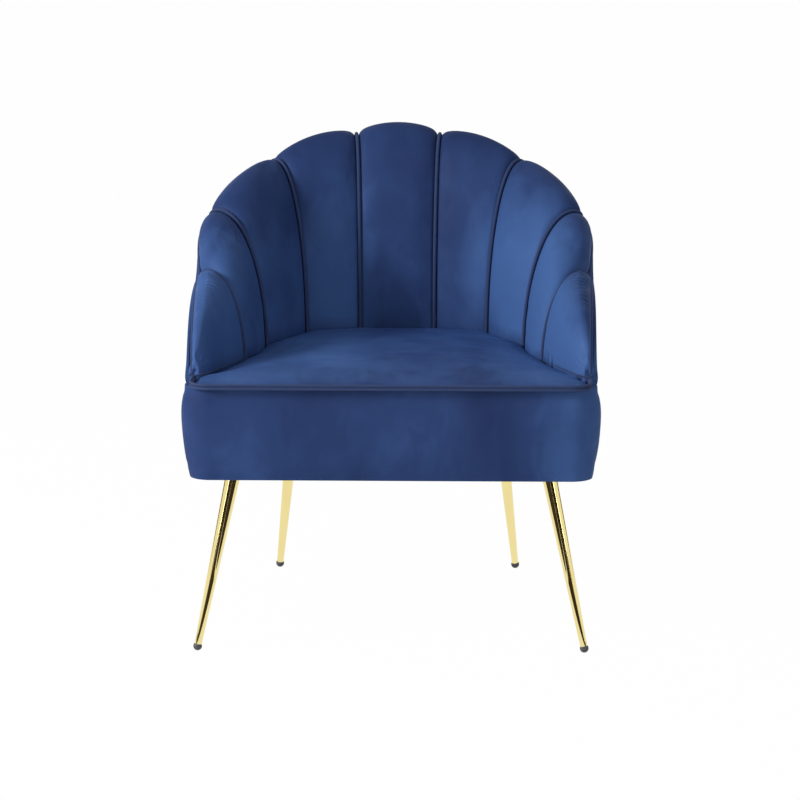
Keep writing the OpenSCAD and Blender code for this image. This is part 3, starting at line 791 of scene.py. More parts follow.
    def outside(self, q: Any, w: Any, depth: Any = 0.0) -> np.ndarray:
        """Outside of the shell, w from 0 at the base's shoulder to 1 under the rim's piping.

        Args:
            q: stations.
            w: heights.
            depth: depth under the cover.

        Returns:
            The points.
        """
        q, w = self._grid(q, w)
        edge = self.panel_edge(q)
        swell = self.swell_share * self.crown_low * np.sin(math.pi * w) - depth
        leaning = between(self.low(q), edge[..., :2], (w**self.flare)[..., None])
        p = leaning + self.low_out(q) * swell[..., None]
        z = between(self.shoulder_z, edge[..., 2], w)
        return np.concatenate([p, z[..., None]], -1)

    @property
    def shoulder_z(self) -> float:
        """Height at which the outside covers stand on the base."""
        return self.seat_h - self.shoulder_share * self.roll_drop

    def low_out(self, q: Any) -> np.ndarray:
        """Outward direction in plan at the base."""
        t = unit(self.low(q + self.step) - self.low(q - self.step))
        return np.stack([-t[..., 1], t[..., 0]], -1)

    def width(self, q: float, r: float) -> float:
        """Millimetres across a station's plane for a step of 1 in q.

        Args:
            q: the station.
            r: distance in plan from its foot.

        Returns:
            The smaller of the widths on its two sides.
        """
        found = []
        for s in (-self.step, self.step):
            d = self.foot(q + s) + r * self.out(q + s) - self.foot(q) - r * self.out(q)
            o = self.out(q)
            found.append(abs((d[0] * o[1] - d[1] * o[0]) / s))
        return min(found)

    def channel_ends(self, m: int, clear: float) -> tuple[float, float]:
        """First and last station of a channel, clear of the piping at its seams.

        Args:
            m: the channel, -4 to 4.
            clear: distance from the seam's line.

        Returns:
            The two stations.
        """
        ends = []
        for q, way in ((m - 0.5, 1), (m + 0.5, -1)):
            least = self.width(q, 0.0)
            if abs(q) < self.tip:
                least = min(least, self.width(q, float(self.reach(q))))
            ends.append(q + way * (clear if abs(q) < self.tip else min(clear, self.tip_clear)) / least)
        return ends[0], ends[1]


FORM = ShellForm()
# The arms' pads roll over a little inside the outside covers
PADS = replace(FORM, rim_x=(0.224, 0.667, 0.946, 0.966, 0.948))
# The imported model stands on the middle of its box, so the drawing moves by this much in depth
SHIFT = np.array([0.0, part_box("seat_welt")[0].y / MM + FORM.overall_d / 2, 0.0])


def to_metres(points: np.ndarray) -> list[tuple]:
    """Points of the drawing, in millimetres, as points of the scene.

    Args:
        points: the points, in rows.

    Returns:
        Them in metres.
    """
    return [tuple(p) for p in ((np.asarray(points).reshape(-1, 3) + SHIFT) * MM)]


# ---------------------------------------------------------------- modelling


class Bench:
    """The modelling steps that the sub-assemblies share."""

    @staticmethod
    def clear() -> None:
        """Leaves edit mode and deselects everything."""
        if bpy.context.object and bpy.context.object.mode != "OBJECT":
            bpy.ops.object.mode_set(mode="OBJECT")
        bpy.ops.object.select_all(action="DESELECT")

    @staticmethod
    def take(piece: bpy.types.Object) -> bpy.types.Object:
        """Makes a piece the only selected and the active one.

        Args:
            piece: the piece.

        Returns:
            The piece.
        """
        Bench.clear()
        piece.select_set(True)
        bpy.context.view_layer.objects.active = piece
        return piece

    @staticmethod
    def join(pieces: list) -> bpy.types.Object:
        """Joins pieces into the first of them.

        Args:
            pieces: the pieces.

        Returns:
            The first piece.
        """
        Bench.take(pieces[0])
        for piece in pieces[1:]:
            piece.select_set(True)
        bpy.ops.object.join()
        return bpy.context.object

    @staticmethod
    def merge(piece: bpy.types.Object) -> bpy.types.Object:
        """Merges a piece's doubled points and turns its faces outwards.

        Args:
            piece: the piece.

        Returns:
            The piece.
        """
        Bench.take(piece)
        bpy.ops.object.mode_set(mode="EDIT")
        bpy.ops.mesh.select_all(action="SELECT")
        bpy.ops.mesh.remove_doubles(threshold=1e-6)
        bpy.ops.mesh.normals_make_consistent(inside=False)
        bpy.ops.object.mode_set(mode="OBJECT")
        return piece

    @staticmethod
    def patch(name: str, points: np.ndarray) -> bpy.types.Object:
        """A grid primitive whose vertices are laid on a surface.

        Args:
            name: the piece's name.
            points: the surface's points in millimetres, rows by columns.

        Returns:
            The piece.
        """
        rows, columns = points.shape[:2]
        Bench.clear()
        bpy.ops.mesh.primitive_grid_add(x_subdivisions=columns - 1, y_subdivisions=rows - 1, size=1)
        piece = bpy.context.object
        piece.name = piece.data.name = name
        for vertex, place in zip(piece.data.vertices, to_metres(points)):
            vertex.co = place
        return piece

    @staticmethod
    def body(name: str, front: np.ndarray, back: np.ndarray) -> bpy.types.Object:
        """A closed body between two grids, bridged round its edge.

        Args:
            name: the piece's name.
            front: the front surface's points, rows by columns.
            back: the back surface's points, as many.

        Returns:
            The piece.
        """
        first = Bench.patch(name, front)
        Bench.join([first, Bench.patch(name + "_back", back)])
        bpy.ops.object.mode_set(mode="EDIT")
        bpy.ops.mesh.select_mode(type="EDGE")
        bpy.ops.mesh.select_all(action="DESELECT")
        bpy.ops.mesh.select_non_manifold(
            extend=False, use_wire=False, use_boundary=True, use_multi_face=False,
            use_non_contiguous=False, use_verts=False)
        bpy.ops.mesh.bridge_edge_loops()
        bpy.ops.mesh.select_all(action="SELECT")
        bpy.ops.mesh.normals_make_consistent(inside=False)
        bpy.ops.object.mode_set(mode="OBJECT")
        return first

    @staticmethod
    def cord(
        name: str, path: np.ndarray, thick: float, rounds: int = 3, shares: np.ndarray | None = None,
    ) -> bpy.types.Object:
        """A round cord along a path.

        Args:
            name: the piece's name.
            path: the points in millimetres.
            thick: its diameter in millimetres.
            rounds: bevel resolution of its section.
            shares: thickness at each point as a share of the diameter.

        Returns:
            The piece, as a mesh.
        """
        Bench.clear()
        bpy.ops.curve.primitive_nurbs_path_add()
        piece = bpy.context.object
        piece.name = piece.data.name = name
        curve = piece.data
        curve.splines.clear()
        spline = curve.splines.new("POLY")
        places = to_metres(path)
        spline.points.add(len(places) - 1)
        for point, place in zip(spline.points, places):
            point.co = (*place, 1.0)
        if shares is not None:
            for point, share in zip(spline.points, shares):
                point.radius = float(share)
        curve.dimensions = "3D"
        curve.twist_mode = "MINIMUM"
        curve.bevel_depth = thick / 2 * MM
        curve.bevel_resolution = rounds
        curve.use_fill_caps = True
        Bench.take(piece)
        bpy.ops.object.convert(target="MESH")
        return Bench.merge(bpy.context.object)

    @staticmethod
    def modify(piece: bpy.types.Object, kind: str, **settings: Any) -> None:
        """Adds a modifier and applies it.

        Args:
            piece: the piece.
            kind: the modifier's type.
            settings: its settings.
        """
        Bench.take(piece)
        made = piece.modifiers.new(kind.title(), kind)
        for key, value in settings.items():
            setattr(made, key, value)
        bpy.ops.object.modifier_apply(modifier=made.name)

    @staticmethod
    def subdivide(piece: bpy.types.Object, levels: int = 1) -> None:
        """Smooths a piece with an applied subdivision surface."""
        Bench.modify(piece, "SUBSURF", levels=levels, render_levels=levels)

    @staticmethod
    def smooth(piece: bpy.types.Object, angle: float = 50.0) -> None:
        """Shades a piece smooth up to an angle in degrees."""
        Bench.take(piece)
        bpy.ops.object.shade_smooth_by_angle(angle=math.radians(angle))

    @staticmethod
    def dress(piece: bpy.types.Object, finish: Finish) -> bpy.types.Object:
        """Gives a piece its finish.

        Args:
            piece: the piece.
            finish: the finish.

        Returns:
            The piece.
        """
        piece.data.materials.clear()
        piece.data.materials.append(finish.material)
        return piece

    @staticmethod
    def hand_over(piece: bpy.types.Object, finish: Finish, *nodes: str) -> bpy.types.Object:
        """Dresses a new piece, lets it ride on the chair and stand for its CAD nodes.

        Args:
            piece: the piece.
            finish: its finish.
            nodes: the CAD nodes that it replaces.

        Returns:
            The piece.
        """
        Bench.dress(piece, finish)
        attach(piece, "root")
        if nodes:
            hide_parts(*nodes)
        log.info("%s: %d faces, %s", piece.name, len(piece.data.polygons), finish.slot)
        return piece

    @staticmethod
    def loft(name: str, rings: np.ndarray, hubs: tuple | None = None) -> bpy.types.Object:
        """A closed body through rings of equal count: a grid primitive whose ends and seam are merged.

        Args:
            name: the piece's name.
            rings: the rings' points in millimetres, ring by ring.
            hubs: the middles that close the first and the last ring. Without them the last ring joins
                the first.

        Returns:
            The piece.
        """
        rows = list(rings)
        if hubs is None:
            rows.append(rings[0])
        else:
            rows = [np.tile(hubs[0], (len(rings[0]), 1))] + rows + [np.tile(hubs[1], (len(rings[0]), 1))]
        points = np.array([np.vstack([row, row[:1]]) for row in rows])
        return Bench.merge(Bench.patch(name, points))


class Upholstery:
    """Fills padded pieces by cloth simulation."""

    FRAMES = 20
    QUALITY, MASS = 6, 0.3
    TENSION, SHEAR, BENDING = 20.0, 8.0, 0.6

    @staticmethod
    def settle(
        piece: bpy.types.Object, held: Callable[[Vector], bool], cap: float,
        pressure: float = 4.0, slack: float = 0.015,
    ) -> None:
        """Inflates a piece, keeps its sewn edges where they are, and caps how far the cloth moves.

        Args:
            piece: the piece, a closed mesh.
            held: tells of a vertex whether it is sewn down.
            cap: the most that a vertex may move, in millimetres.
            pressure: the pressure inside.
            slack: how much longer the cloth is than the form under it, as a share.
        """
        Bench.take(piece)
        mesh = piece.data
        start = np.array([tuple(v.co) for v in mesh.vertices])
        group = piece.vertex_groups.new(name="sewn")
        group.add([v.index for v in mesh.vertices if held(v)], 1.0, "REPLACE")
        made = piece.modifiers.new("Fill", "CLOTH")
        cloth = made.settings
        cloth.quality, cloth.mass = Upholstery.QUALITY, Upholstery.MASS
        cloth.tension_stiffness = cloth.compression_stiffness = Upholstery.TENSION
        cloth.shear_stiffness, cloth.bending_stiffness = Upholstery.SHEAR, Upholstery.BENDING
        cloth.use_pressure, cloth.uniform_pressure_force = True, pressure
        cloth.shrink_min = -slack
        cloth.vertex_group_mass = group.name
        cloth.effector_weights.gravity = 0.0
        made.collision_settings.use_collision = made.collision_settings.use_self_collision = False
        made.point_cache.frame_start, made.point_cache.frame_end = 1, Upholstery.FRAMES
        for number in range(1, Upholstery.FRAMES + 1):
            bpy.context.scene.frame_set(number)
        bpy.ops.object.modifier_apply(modifier=made.name)
        bpy.context.scene.frame_set(1)
        moved = np.array([tuple(v.co) for v in mesh.vertices]) - start
        length = np.linalg.norm(moved, axis=1, keepdims=True)
        limit = cap * MM
        eased = moved / np.maximum(length, 1e-9) * limit * np.tanh(length / limit)
        mesh.vertices.foreach_set("co", (start + eased).ravel())
        mesh.update()
        piece.vertex_groups.clear()
        log.info("%s: filled, moved %.1f mm at most", piece.name, length.max() / MM)


def resample(path: np.ndarray, count: int, closed: bool = True, carry: np.ndarray | None = None) -> tuple:
    """Even points along a path.

    Args:
        path: its points.
        count: how many points to make.
        closed: whether the path returns to its start.
        carry: values at the points, such as directions, that go along.

    Returns:
        The points and the values, or None for these.
    """
    loop = np.vstack([path, path[:1]]) if closed else path
    steps = np.r_[0, np.cumsum(np.linalg.norm(np.diff(loop, axis=0), axis=1))]
    where = np.linspace(0, steps[-1], count, endpoint=not closed)
    even = np.stack([np.interp(where, steps, loop[:, k]) for k in range(loop.shape[1])], 1)
    if carry is None:
        return even, None
    values = np.vstack([carry, carry[:1]]) if closed else carry
    return even, np.stack([np.interp(where, steps, values[:, k]) for k in range(values.shape[1])], 1)


# ---------------------------------------------------------------- sub-assemblies


class Side(enum.Enum):
    """Side of the chair as the photograph shows it, with the sign of its stations."""

    LEFT = -1
    RIGHT = 1


def channel_name(m: int) -> str:
    """Name of a channel: center, or its side and number from the middle."""
    return "center" if m == 0 else f"{'left' if m < 0 else 'right'}_{abs(m)}"


@dataclass
class Channels:
    """The nine padded channels of the back and arms, drawn in at their seams and gathered at the arms."""

    form: ShellForm = PADS
    across: int = 13
    tuck_rows: int = 4
    face_rows: int = 34
    roll_rows: int = 8
    clear: float = 2.6
    edge_depth: float = 5.5
    edge_w: float = 4.5
    across_arm: int = 28
    held_columns: int = 4
    held_rows: int = 3
    tuck_from: float = -0.9
    tip_from: float = 4.36
    tip_over: float = 0.06
    fill_cap: float = 3.0
    fill_slack: float = 0.004
    gather_depth: float = 1.9
    gathers: float = 27.0
    gather_at: float = 0.16
    gather_w: float = 0.26
    gather_top: float = 1.1
    gather_fade: float = 0.24
    pleats: tuple = (3.6, 3.68, 3.75, 3.85)
    pleat_depth: float = 9.0
    pleat_w: float = 0.007
    pleat_spread: float = 0.012
    pleat_top: float = 0.18
    pleat_step: float = 0.014
    pleat_fade: float = 0.1

    def rows(self) -> np.ndarray:
        """Heights of the grid's rows, from the tuck to the end of the roll.

        Returns:
            The heights.
        """
        tuck = np.linspace(self.tuck_from, 0, self.tuck_rows, endpoint=False)
        face = np.linspace(0, 1, self.face_rows, endpoint=False)
        return np.concatenate([tuck, face, np.linspace(1, 2, self.roll_rows + 1)])

    def folds(self, q: np.ndarray, v: np.ndarray) -> np.ndarray:
        """Depth of the gathers at the arms' outer edges and of the pleats at the right arm's foot.

        Args:
            q: stations.
            v: heights along the channel.

        Returns:
            The depths in millimetres.
        """
        past = np.abs(q) - self.form.last_seam
        beside = np.exp(-((past - self.gather_at) / self.gather_w) ** 2)
        near = beside * np.exp(-np.clip(self.gather_top - v, 0, 2) / self.gather_fade)
        wander = 0.9 * np.sin(9.0 * past) + 0.7 * np.sin(23.0 * past + 1.0 + 2.0 * v)
        uneven = 0.65 + 0.35 * np.sin(31.0 * past + 5.0 * v)
        rolled = 1 - 0.5 * np.clip((v - 1.2) / 0.5, 0, 1)
        waves = 1 + np.sin(2 * math.pi * self.gathers * past + 1.5 * v + wander)
        depth = self.gather_depth * uneven * rolled * near * waves
        for k, middle in enumerate(self.pleats):
            reach = np.clip((self.pleat_top - self.pleat_step * k - v) / self.pleat_fade, 0, 1)
            width = self.pleat_w + self.pleat_spread * reach
            depth = depth + self.pleat_depth * np.exp(-((q - middle) / width) ** 2) * reach
        return depth

    def crease(self, piece: bpy.types.Object, q: np.ndarray, v: np.ndarray) -> None:
        """Refines a channel of the arms and presses its folds in.

        Args:
            piece: the channel, whose first vertices are the front's grid.
            q: stations of the front's grid.
            v: heights of the front's grid.
        """
        mesh = piece.data
        spots = np.zeros((len(mesh.vertices), 3))
        spots[:q.size] = np.column_stack([q.ravel(), v.ravel(), np.ones(q.size)])
        mesh.attributes.new("spot", "FLOAT_VECTOR", "POINT").data.foreach_set("vector", spots.ravel())
        Bench.subdivide(piece, 2)
        mesh = piece.data
        spots, points, normals = (np.zeros(3 * len(mesh.vertices)) for _ in range(3))
        mesh.attributes["spot"].data.foreach_get("vector", spots)
        mesh.vertices.foreach_get("co", points)
        mesh.vertices.foreach_get("normal", normals)
        q, v, front = spots.reshape(-1, 3).T
        depth = np.where(front > 0.99, self.folds(q, v), 0.0) * MM
        mesh.vertices.foreach_set("co", points - normals * np.repeat(depth, 3))
        mesh.attributes.remove(mesh.attributes["spot"])
        mesh.update()

    def build(self, m: int) -> bpy.types.Object:
        """Builds one channel with its foam.

        Args:
            m: the channel, -4 to 4.

        Returns:
            The piece.
        """
        a, b = self.form.channel_ends(m, self.clear)
        half = self.across_arm if abs(m) == 4 else self.across
        k = np.arange(-half, half + 1) / half
        q = (a + b) / 2 + (b - a) / 2 * np.sin(k * math.pi / 2)
        v = self.rows()
        width = self.form.width(float(m), float(self.form.reach(np.array(float(m)))))
        beside = np.minimum(q - a, b - q) * width
        depth = self.edge_depth * np.exp(-beside / self.edge_w)
        grid_q, grid_v = np.meshgrid(q, v)
        front = self.form.skin(grid_q, grid_v, np.broadcast_to(depth, grid_q.shape))
        back = self.form.backing(q[None, :], v[:, None])
        at_tip = np.clip((np.abs(grid_q) - self.tip_from) / self.tip_over, 0, 1)[..., None]
        height = (grid_v - self.tuck_from) / (2 - self.tuck_from)
        outer = FORM.outside(grid_q, height, FORM.panel_t + 2 * FORM.soft_gap)
        back = between(back, outer, at_tip)
        name = channel_name(m)
        piece = Bench.body(f"channel_{name}", front, back)
        held = round(self.held_columns * half / self.across)
        rows, columns = range(self.held_rows, len(v) - 1), range(held, len(q) - held)
        free = {i * len(q) + j for i in rows for j in columns}
        Upholstery.settle(
            piece, lambda vertex: vertex.index not in free, self.fill_cap, slack=self.fill_slack)
        if abs(m) == 4:
            self.crease(piece, grid_q, grid_v)
        else:
            Bench.subdivide(piece)
        Bench.smooth(piece, 60)
        return Bench.hand_over(piece, Finish.VELVET, f"channel_cover_{name}", f"channel_foam_{name}")

    def make(self) -> None:
        """Builds all the channels."""
        for m in range(-4, 5):
            self.build(m)


@dataclass
class Pipings:
    """The piped seams between the channels, and the piping under the rolled rim."""

    form: ShellForm = PADS
    proud: float = 1.0
    seam_points: int = 64
    seam_from: float = -0.04
    seam_to: float = 1.99
    sink: float = 2.4
    sink_from: float = 1.1
    sink_over: float = 0.8
    under_rim: tuple = ((4.0, 1.5), (9.0, 4.5), (18.0, 5.5))
    rim_points: int = 420

    def seams(self) -> None:
        """Builds the eight seams as one piece."""
        cords = []
        for s in np.arange(-self.form.last_seam, self.form.tip - 0.5):
            v = np.linspace(self.seam_from, self.seam_to, self.seam_points)
            sunk = self.proud - self.sink * np.clip(v - self.sink_from, 0, self.sink_over) / self.sink_over
            path = self.form.line(s, v) + self.form.normal(s, v) * sunk[:, None]
            inwards = np.append(-self.form.out(s), 0.0)
            under = [path[-1] - self.form.rim_up(s) * down + inwards * back for down, back in self.under_rim]
            path = np.vstack([path, np.reshape(under, (-1, 3))])
            cords.append(Bench.cord(f"seam_{s}", path, self.form.piping_d))
        piece = Bench.join(cords)
        piece.name = piece.data.name = "seam_cords"
        Bench.smooth(piece, 60)
        Bench.hand_over(piece, Finish.PIPING, "seam_piping")

    def rim(self) -> None:
        """Builds the piping under the rim."""
        clear = Channels().clear
        first, last = self.form.channel_ends(-4, clear)[0], self.form.channel_ends(4, clear)[1]
        q = np.linspace(first, last, self.rim_points)
        path = self.form.skin(q, 2.0) - self.form.rim_up(q) * (self.form.piping_d / 2 + self.form.soft_gap)
        piece = Bench.cord("rim_cord", path, self.form.piping_d)
        Bench.smooth(piece, 60)
        Bench.hand_over(piece, Finish.PIPING, "rim_piping")


@dataclass
class OutsideCovers:
    """The upholstered panels on the outside of the back and arms."""

    form: ShellForm = FORM
    seam: float = 2.5
    seam_clear: float = 0.0035
    end: float = 4.465
    columns_per_channel: int = 16
    fold: float = 16.0
    fold_drop: float = 0.8
    fold_shares: tuple = (0.4, 0.7, 1.0)
    edge_round: float = 1.2
    edge_angle: float = 50.0
    rows: int = 22

    def build(self, name: str, first: float, last: float) -> None:
        """Builds one panel.

        Args:
            name: the panel's name, which is also its CAD node's.
            first: its first station.
            last: its last station.
        """
        count = int((last - first) * self.columns_per_channel) + 1
        q = np.linspace(first, last, count)
        w = np.linspace(0, 1, self.rows)
        outer = self.form.outside(q[None, :], w[:, None])
        inner = self.form.outside(q[None, :], w[:, None], self.form.panel_t)
        inwards = np.column_stack([-self.form.out(q), np.zeros(count)])
        up = self.form.rim_up(q)
        fold = np.array([
            outer[-1] + inwards * (self.fold * k) - up * (self.fold_drop * k) for k in self.fold_shares])
        outer = np.concatenate([outer, fold])
        inner = np.concatenate([inner, fold - up * self.form.panel_t])
        piece = Bench.body(f"{name}_panel", inner, outer)
        Bench.modify(
            piece, "BEVEL", width=self.edge_round * MM, segments=2, limit_method="ANGLE",
            angle_limit=math.radians(self.edge_angle))
        Bench.smooth(piece, 40)
        Bench.hand_over(piece, Finish.VELVET, name)

    def make(self) -> None:
        """Builds the three panels."""
        self.build("outside_back", -self.seam + self.seam_clear, self.seam - self.seam_clear)
        self.build("outside_arm_left", -self.end, -self.seam - self.seam_clear)
        self.build("outside_arm_right", self.seam + self.seam_clear, self.end)


@dataclass
class SeatPad:
    """The tight seat: a crowned deck over foam, with a thick welt round its front."""

    form: ShellForm = FORM
    seat_crown: float = 16.0
    edge_rise: float = 9.0
    welt_d: float = 9.0
    welt_z: float = 434.0
    core_d: float = 5.0
    core_in: tuple = (0.9935, 0.9935, 1.0)
    lip_d: float = 4.0
    lip_z: float = 2.9
    welt_front: float = -306.5
    welt_side: float = 313.0
    foam_side: float = 309.4
    mid_share: float = -0.14
    fore_share: float = -0.34
    corner_r: float = 30.0
    base_front: float = -299.3
    base_corner_r: float = 46.0
    foam_in: float = 17.3
    foam_foot: float = 383.4
    rise_fore: tuple = (-0.385, 0.16, 0.75)
    rise_rear: tuple = (0.1, 0.25, 0.6)
    ease_points: int = 3
    crown_power: float = 3.2
    edge_from: float = 0.96
    edge_over: float = 0.04
    edge_drop: float = 3.0
    crevice_ends: tuple = (0.06, 0.1)
    crevice_clear: float = 1.2
    crevice_points: int = 40
    curl_r: float = 9.0
    front_points: int = 170
    side_points: int = 60
    thinning: tuple = ((1.0, 0.3, 14), (0.3, 0.07, 46))
    around: int = 300
    voxel: float = 6.0
    shares: tuple = (1.0, 0.99, 0.97, 0.94, 0.9, 0.84, 0.76, 0.66, 0.54, 0.4, 0.25, 0.12)

    def front(
        self, start: Point, side_x: float, front_y: float, radius: float, turns: int = 10,
    ) -> np.ndarray:
        """The T's outline from the right arm's end round the front to the left one's.

        Args:
            start: where it comes out in front of the right arm's end.
            side_x: half its width.
            front_y: its front.
            radius: its corners' radius.
            turns: points in a corner.

        Returns:
            The points in plan.
        """
        angles = np.linspace(0, -math.pi / 2, turns)
        x, y = side_x - radius, front_y + radius
        right = [(x + radius * math.cos(a), y + radius * math.sin(a)) for a in angles]
        left = [(-across, depth) for across, depth in reversed(right)]
        return np.array([tuple(start), *right, *left, (-start[0], start[1])])

    def deck_end(self, x: float) -> tuple[float, float]:
        """Point past the arm's corner, in line with it and the seat's middle."""
        a = self.form.foot(self.form.tip) - np.array([0, 2 * self.form.soft_gap])
        return x, float(a[1] + (x - a[0]) * (a[1] - self.mid_share * self.form.overall_d) / a[0])

    def arm_end(self, x: float, clear: float = 0.0) -> tuple[float, float]:
        """Point in front of the arm's end, which runs on outwards.

        Args:
            x: its place across the chair.
            clear: distance from the edge.

        Returns:
            The point in plan.
        """
        a = self.form.foot(self.form.tip)
        d = self.form.rim(self.form.tip) - a
        return x, float(a[1] + (x - clear - a[0]) * d[1] / d[0] - 2 * self.form.soft_gap)

    def plans(self) -> tuple[np.ndarray, np.ndarray, int]:
        """Outlines of the deck and of the foam under it, point for point, and the share along the shell.

        Returns:
            The two outlines and the number of points that lie along the channels' feet.
        """
        clear = Channels().clear
        side = []
        for m in range(-4, 5):
            a, b = self.form.channel_ends(m, clear)
            side.append(self.form.skin(np.linspace(a, b, 13), 0.0, -self.form.soft_gap)[:, :2])
        tip = self.form.foot(self.form.tip) - np.array([0, 2 * self.form.soft_gap])
        shell = np.vstack([[(-tip[0], tip[1])], *side, [tip]])
        inset = self.welt_d / 2 + self.form.soft_gap
        side_x = self.welt_side - inset
        deck = np.vstack([shell, self.front(
            self.deck_end(side_x), side_x, self.welt_front + inset, self.corner_r - inset)])
        foam = np.vstack([shell, self.front(
            self.deck_end(self.foam_side), self.form.half_w - self.foam_in, self.base_front + self.foam_in,
            self.base_corner_r - self.foam_in)])
        even, other = resample(deck, self.around, True, foam)
        length = np.linalg.norm(np.diff(shell, axis=0), axis=1).sum()
        total = np.linalg.norm(np.diff(np.vstack([deck, deck[:1]]), axis=0), axis=1).sum()
        return even, other, int(self.around * length / total)

    def rise(self, deck: np.ndarray) -> np.ndarray:
        """How much the full seat climbs the channels' feet at points of its outline.

        Args:
            deck: the points.

        Returns:
            The rises in millimetres.
        """
        y = deck[:, 1] / self.form.overall_d
        fore_from, fore_over, fore_least = self.rise_fore
        rear_from, rear_over, rear_least = self.rise_rear
        forward = between(fore_least, 1.0, np.clip((y - fore_from) / fore_over, 0, 1))
        return forward * between(1.0, rear_least, np.clip((y - rear_from) / rear_over, 0, 1)) * self.edge_rise

    def build(self) -> bpy.types.Object:
        """Builds the deck with its foam.

        Returns:
            The piece.
        """
        deck, foam, shell_count = self.plans()
        count = np.arange(self.around)
        along = np.clip(np.minimum(count, shell_count - count) / self.ease_points, 0, 1)
        edge = between(self.welt_z, self.form.seat_h, along)
        edge[:shell_count] += self.rise(deck[:shell_count])
        ledge = self.welt_z - self.welt_d / 2
        low = between(ledge, ledge - 6.0, along)
        middles = (self.mid_share, self.fore_share)
        mid, fore = (np.array([0, share * self.form.overall_d]) for share in middles)

        def ring(share: float) -> np.ndarray:
            """A ring of the crowned top.

            Args:
                share: its place, from 0 in the middle to 1 at the edge.

            Returns:
                The points.
            """
            c = between(mid, fore, share)
            p = c + (deck - c) * share
            z = between(self.welt_z, edge, share**4) + self.seat_crown * (1 - share**self.crown_power)
            z = z - self.edge_drop * max(0.0, (share - self.edge_from) / self.edge_over) ** 2
            return np.column_stack([p, z])

        rings = [
            np.column_stack([foam, np.full(self.around, self.foam_foot)]),
            np.column_stack([foam, low - 2.0]),
            np.column_stack([deck, low]),
            *[ring(s) for s in self.shares],
        ]
        hubs = (np.array([*fore, self.foam_foot]), np.array([*mid, self.welt_z + self.seat_crown]))
        piece = Bench.loft("seat_pad", np.array(rings), hubs)
        floor_z = (self.welt_z + 1.0) * MM
        Bench.take(piece)
        piece.data.remesh_voxel_size = self.voxel * MM
        bpy.ops.object.voxel_remesh()
        Upholstery.settle(piece, lambda v: v.co.z < floor_z, 3.0, 3.0, 0.003)
        Bench.subdivide(piece)
        Bench.smooth(piece, 60)
        return Bench.hand_over(piece, Finish.VELVET, "seat_cover", "seat_foam")

    def crevice(self) -> np.ndarray:
        """The welt's thin run along the right arm's foot, from the arm's end to the last seam.

        Returns:
            The points.
        """
        first, last = self.form.tip - self.crevice_ends[0], self.form.last_seam + self.crevice_ends[1]
        plan = self.form.skin(np.linspace(first, last, self.crevice_points), 0.0, -self.crevice_clear)[:, :2]
        share = np.linspace(0, 1, self.crevice_points)
        return np.column_stack([plan, self.welt_z + 2.0 + self.rise(plan) - 3.0 - 4.0 * share**3])

    def welt(self) -> None:
        """Builds the welt round the front of the seat, round its corners and on into the crevices."""
        start = self.arm_end(self.welt_side, self.welt_d / 2)
        front = self.front(start, self.welt_side, self.welt_front, self.corner_r, 14)
        front, _ = resample(front, self.front_points, False)
        x, y, r = self.welt_side, start[1] - 1.0, self.curl_r
        angles = np.linspace(0, math.pi / 2, 9)[1:]
        curl = np.column_stack([
            x - r + r * np.cos(angles), y + 0.4 * r * np.sin(angles), self.welt_z + 3.0 * np.sin(angles)])
        side, _ = resample(np.vstack([curl, self.crevice()]), self.side_points, False)
        front = np.column_stack([front, np.full(len(front), self.welt_z)])
        mirror = np.array([-1.0, 1.0, 1.0])
        path = np.vstack([side[::-1], front, side * mirror])
        taper = np.concatenate([np.linspace(*part) for part in self.thinning])
        shares = np.concatenate([taper[::-1], np.ones(len(front)), taper])
        piece = Bench.cord("seat_welt_cord", path * self.core_in, self.core_d, 5, shares)
        lips = [path + np.outer(shares, (0, 0, sign * self.lip_z)) for sign in (-1, 1)]
        Bench.join([piece, *(Bench.cord("seat_welt_lip", lip, self.lip_d, 3, shares) for lip in lips)])
        Bench.smooth(piece, 60)
        Bench.hand_over(piece, Finish.PIPING, "seat_welt")


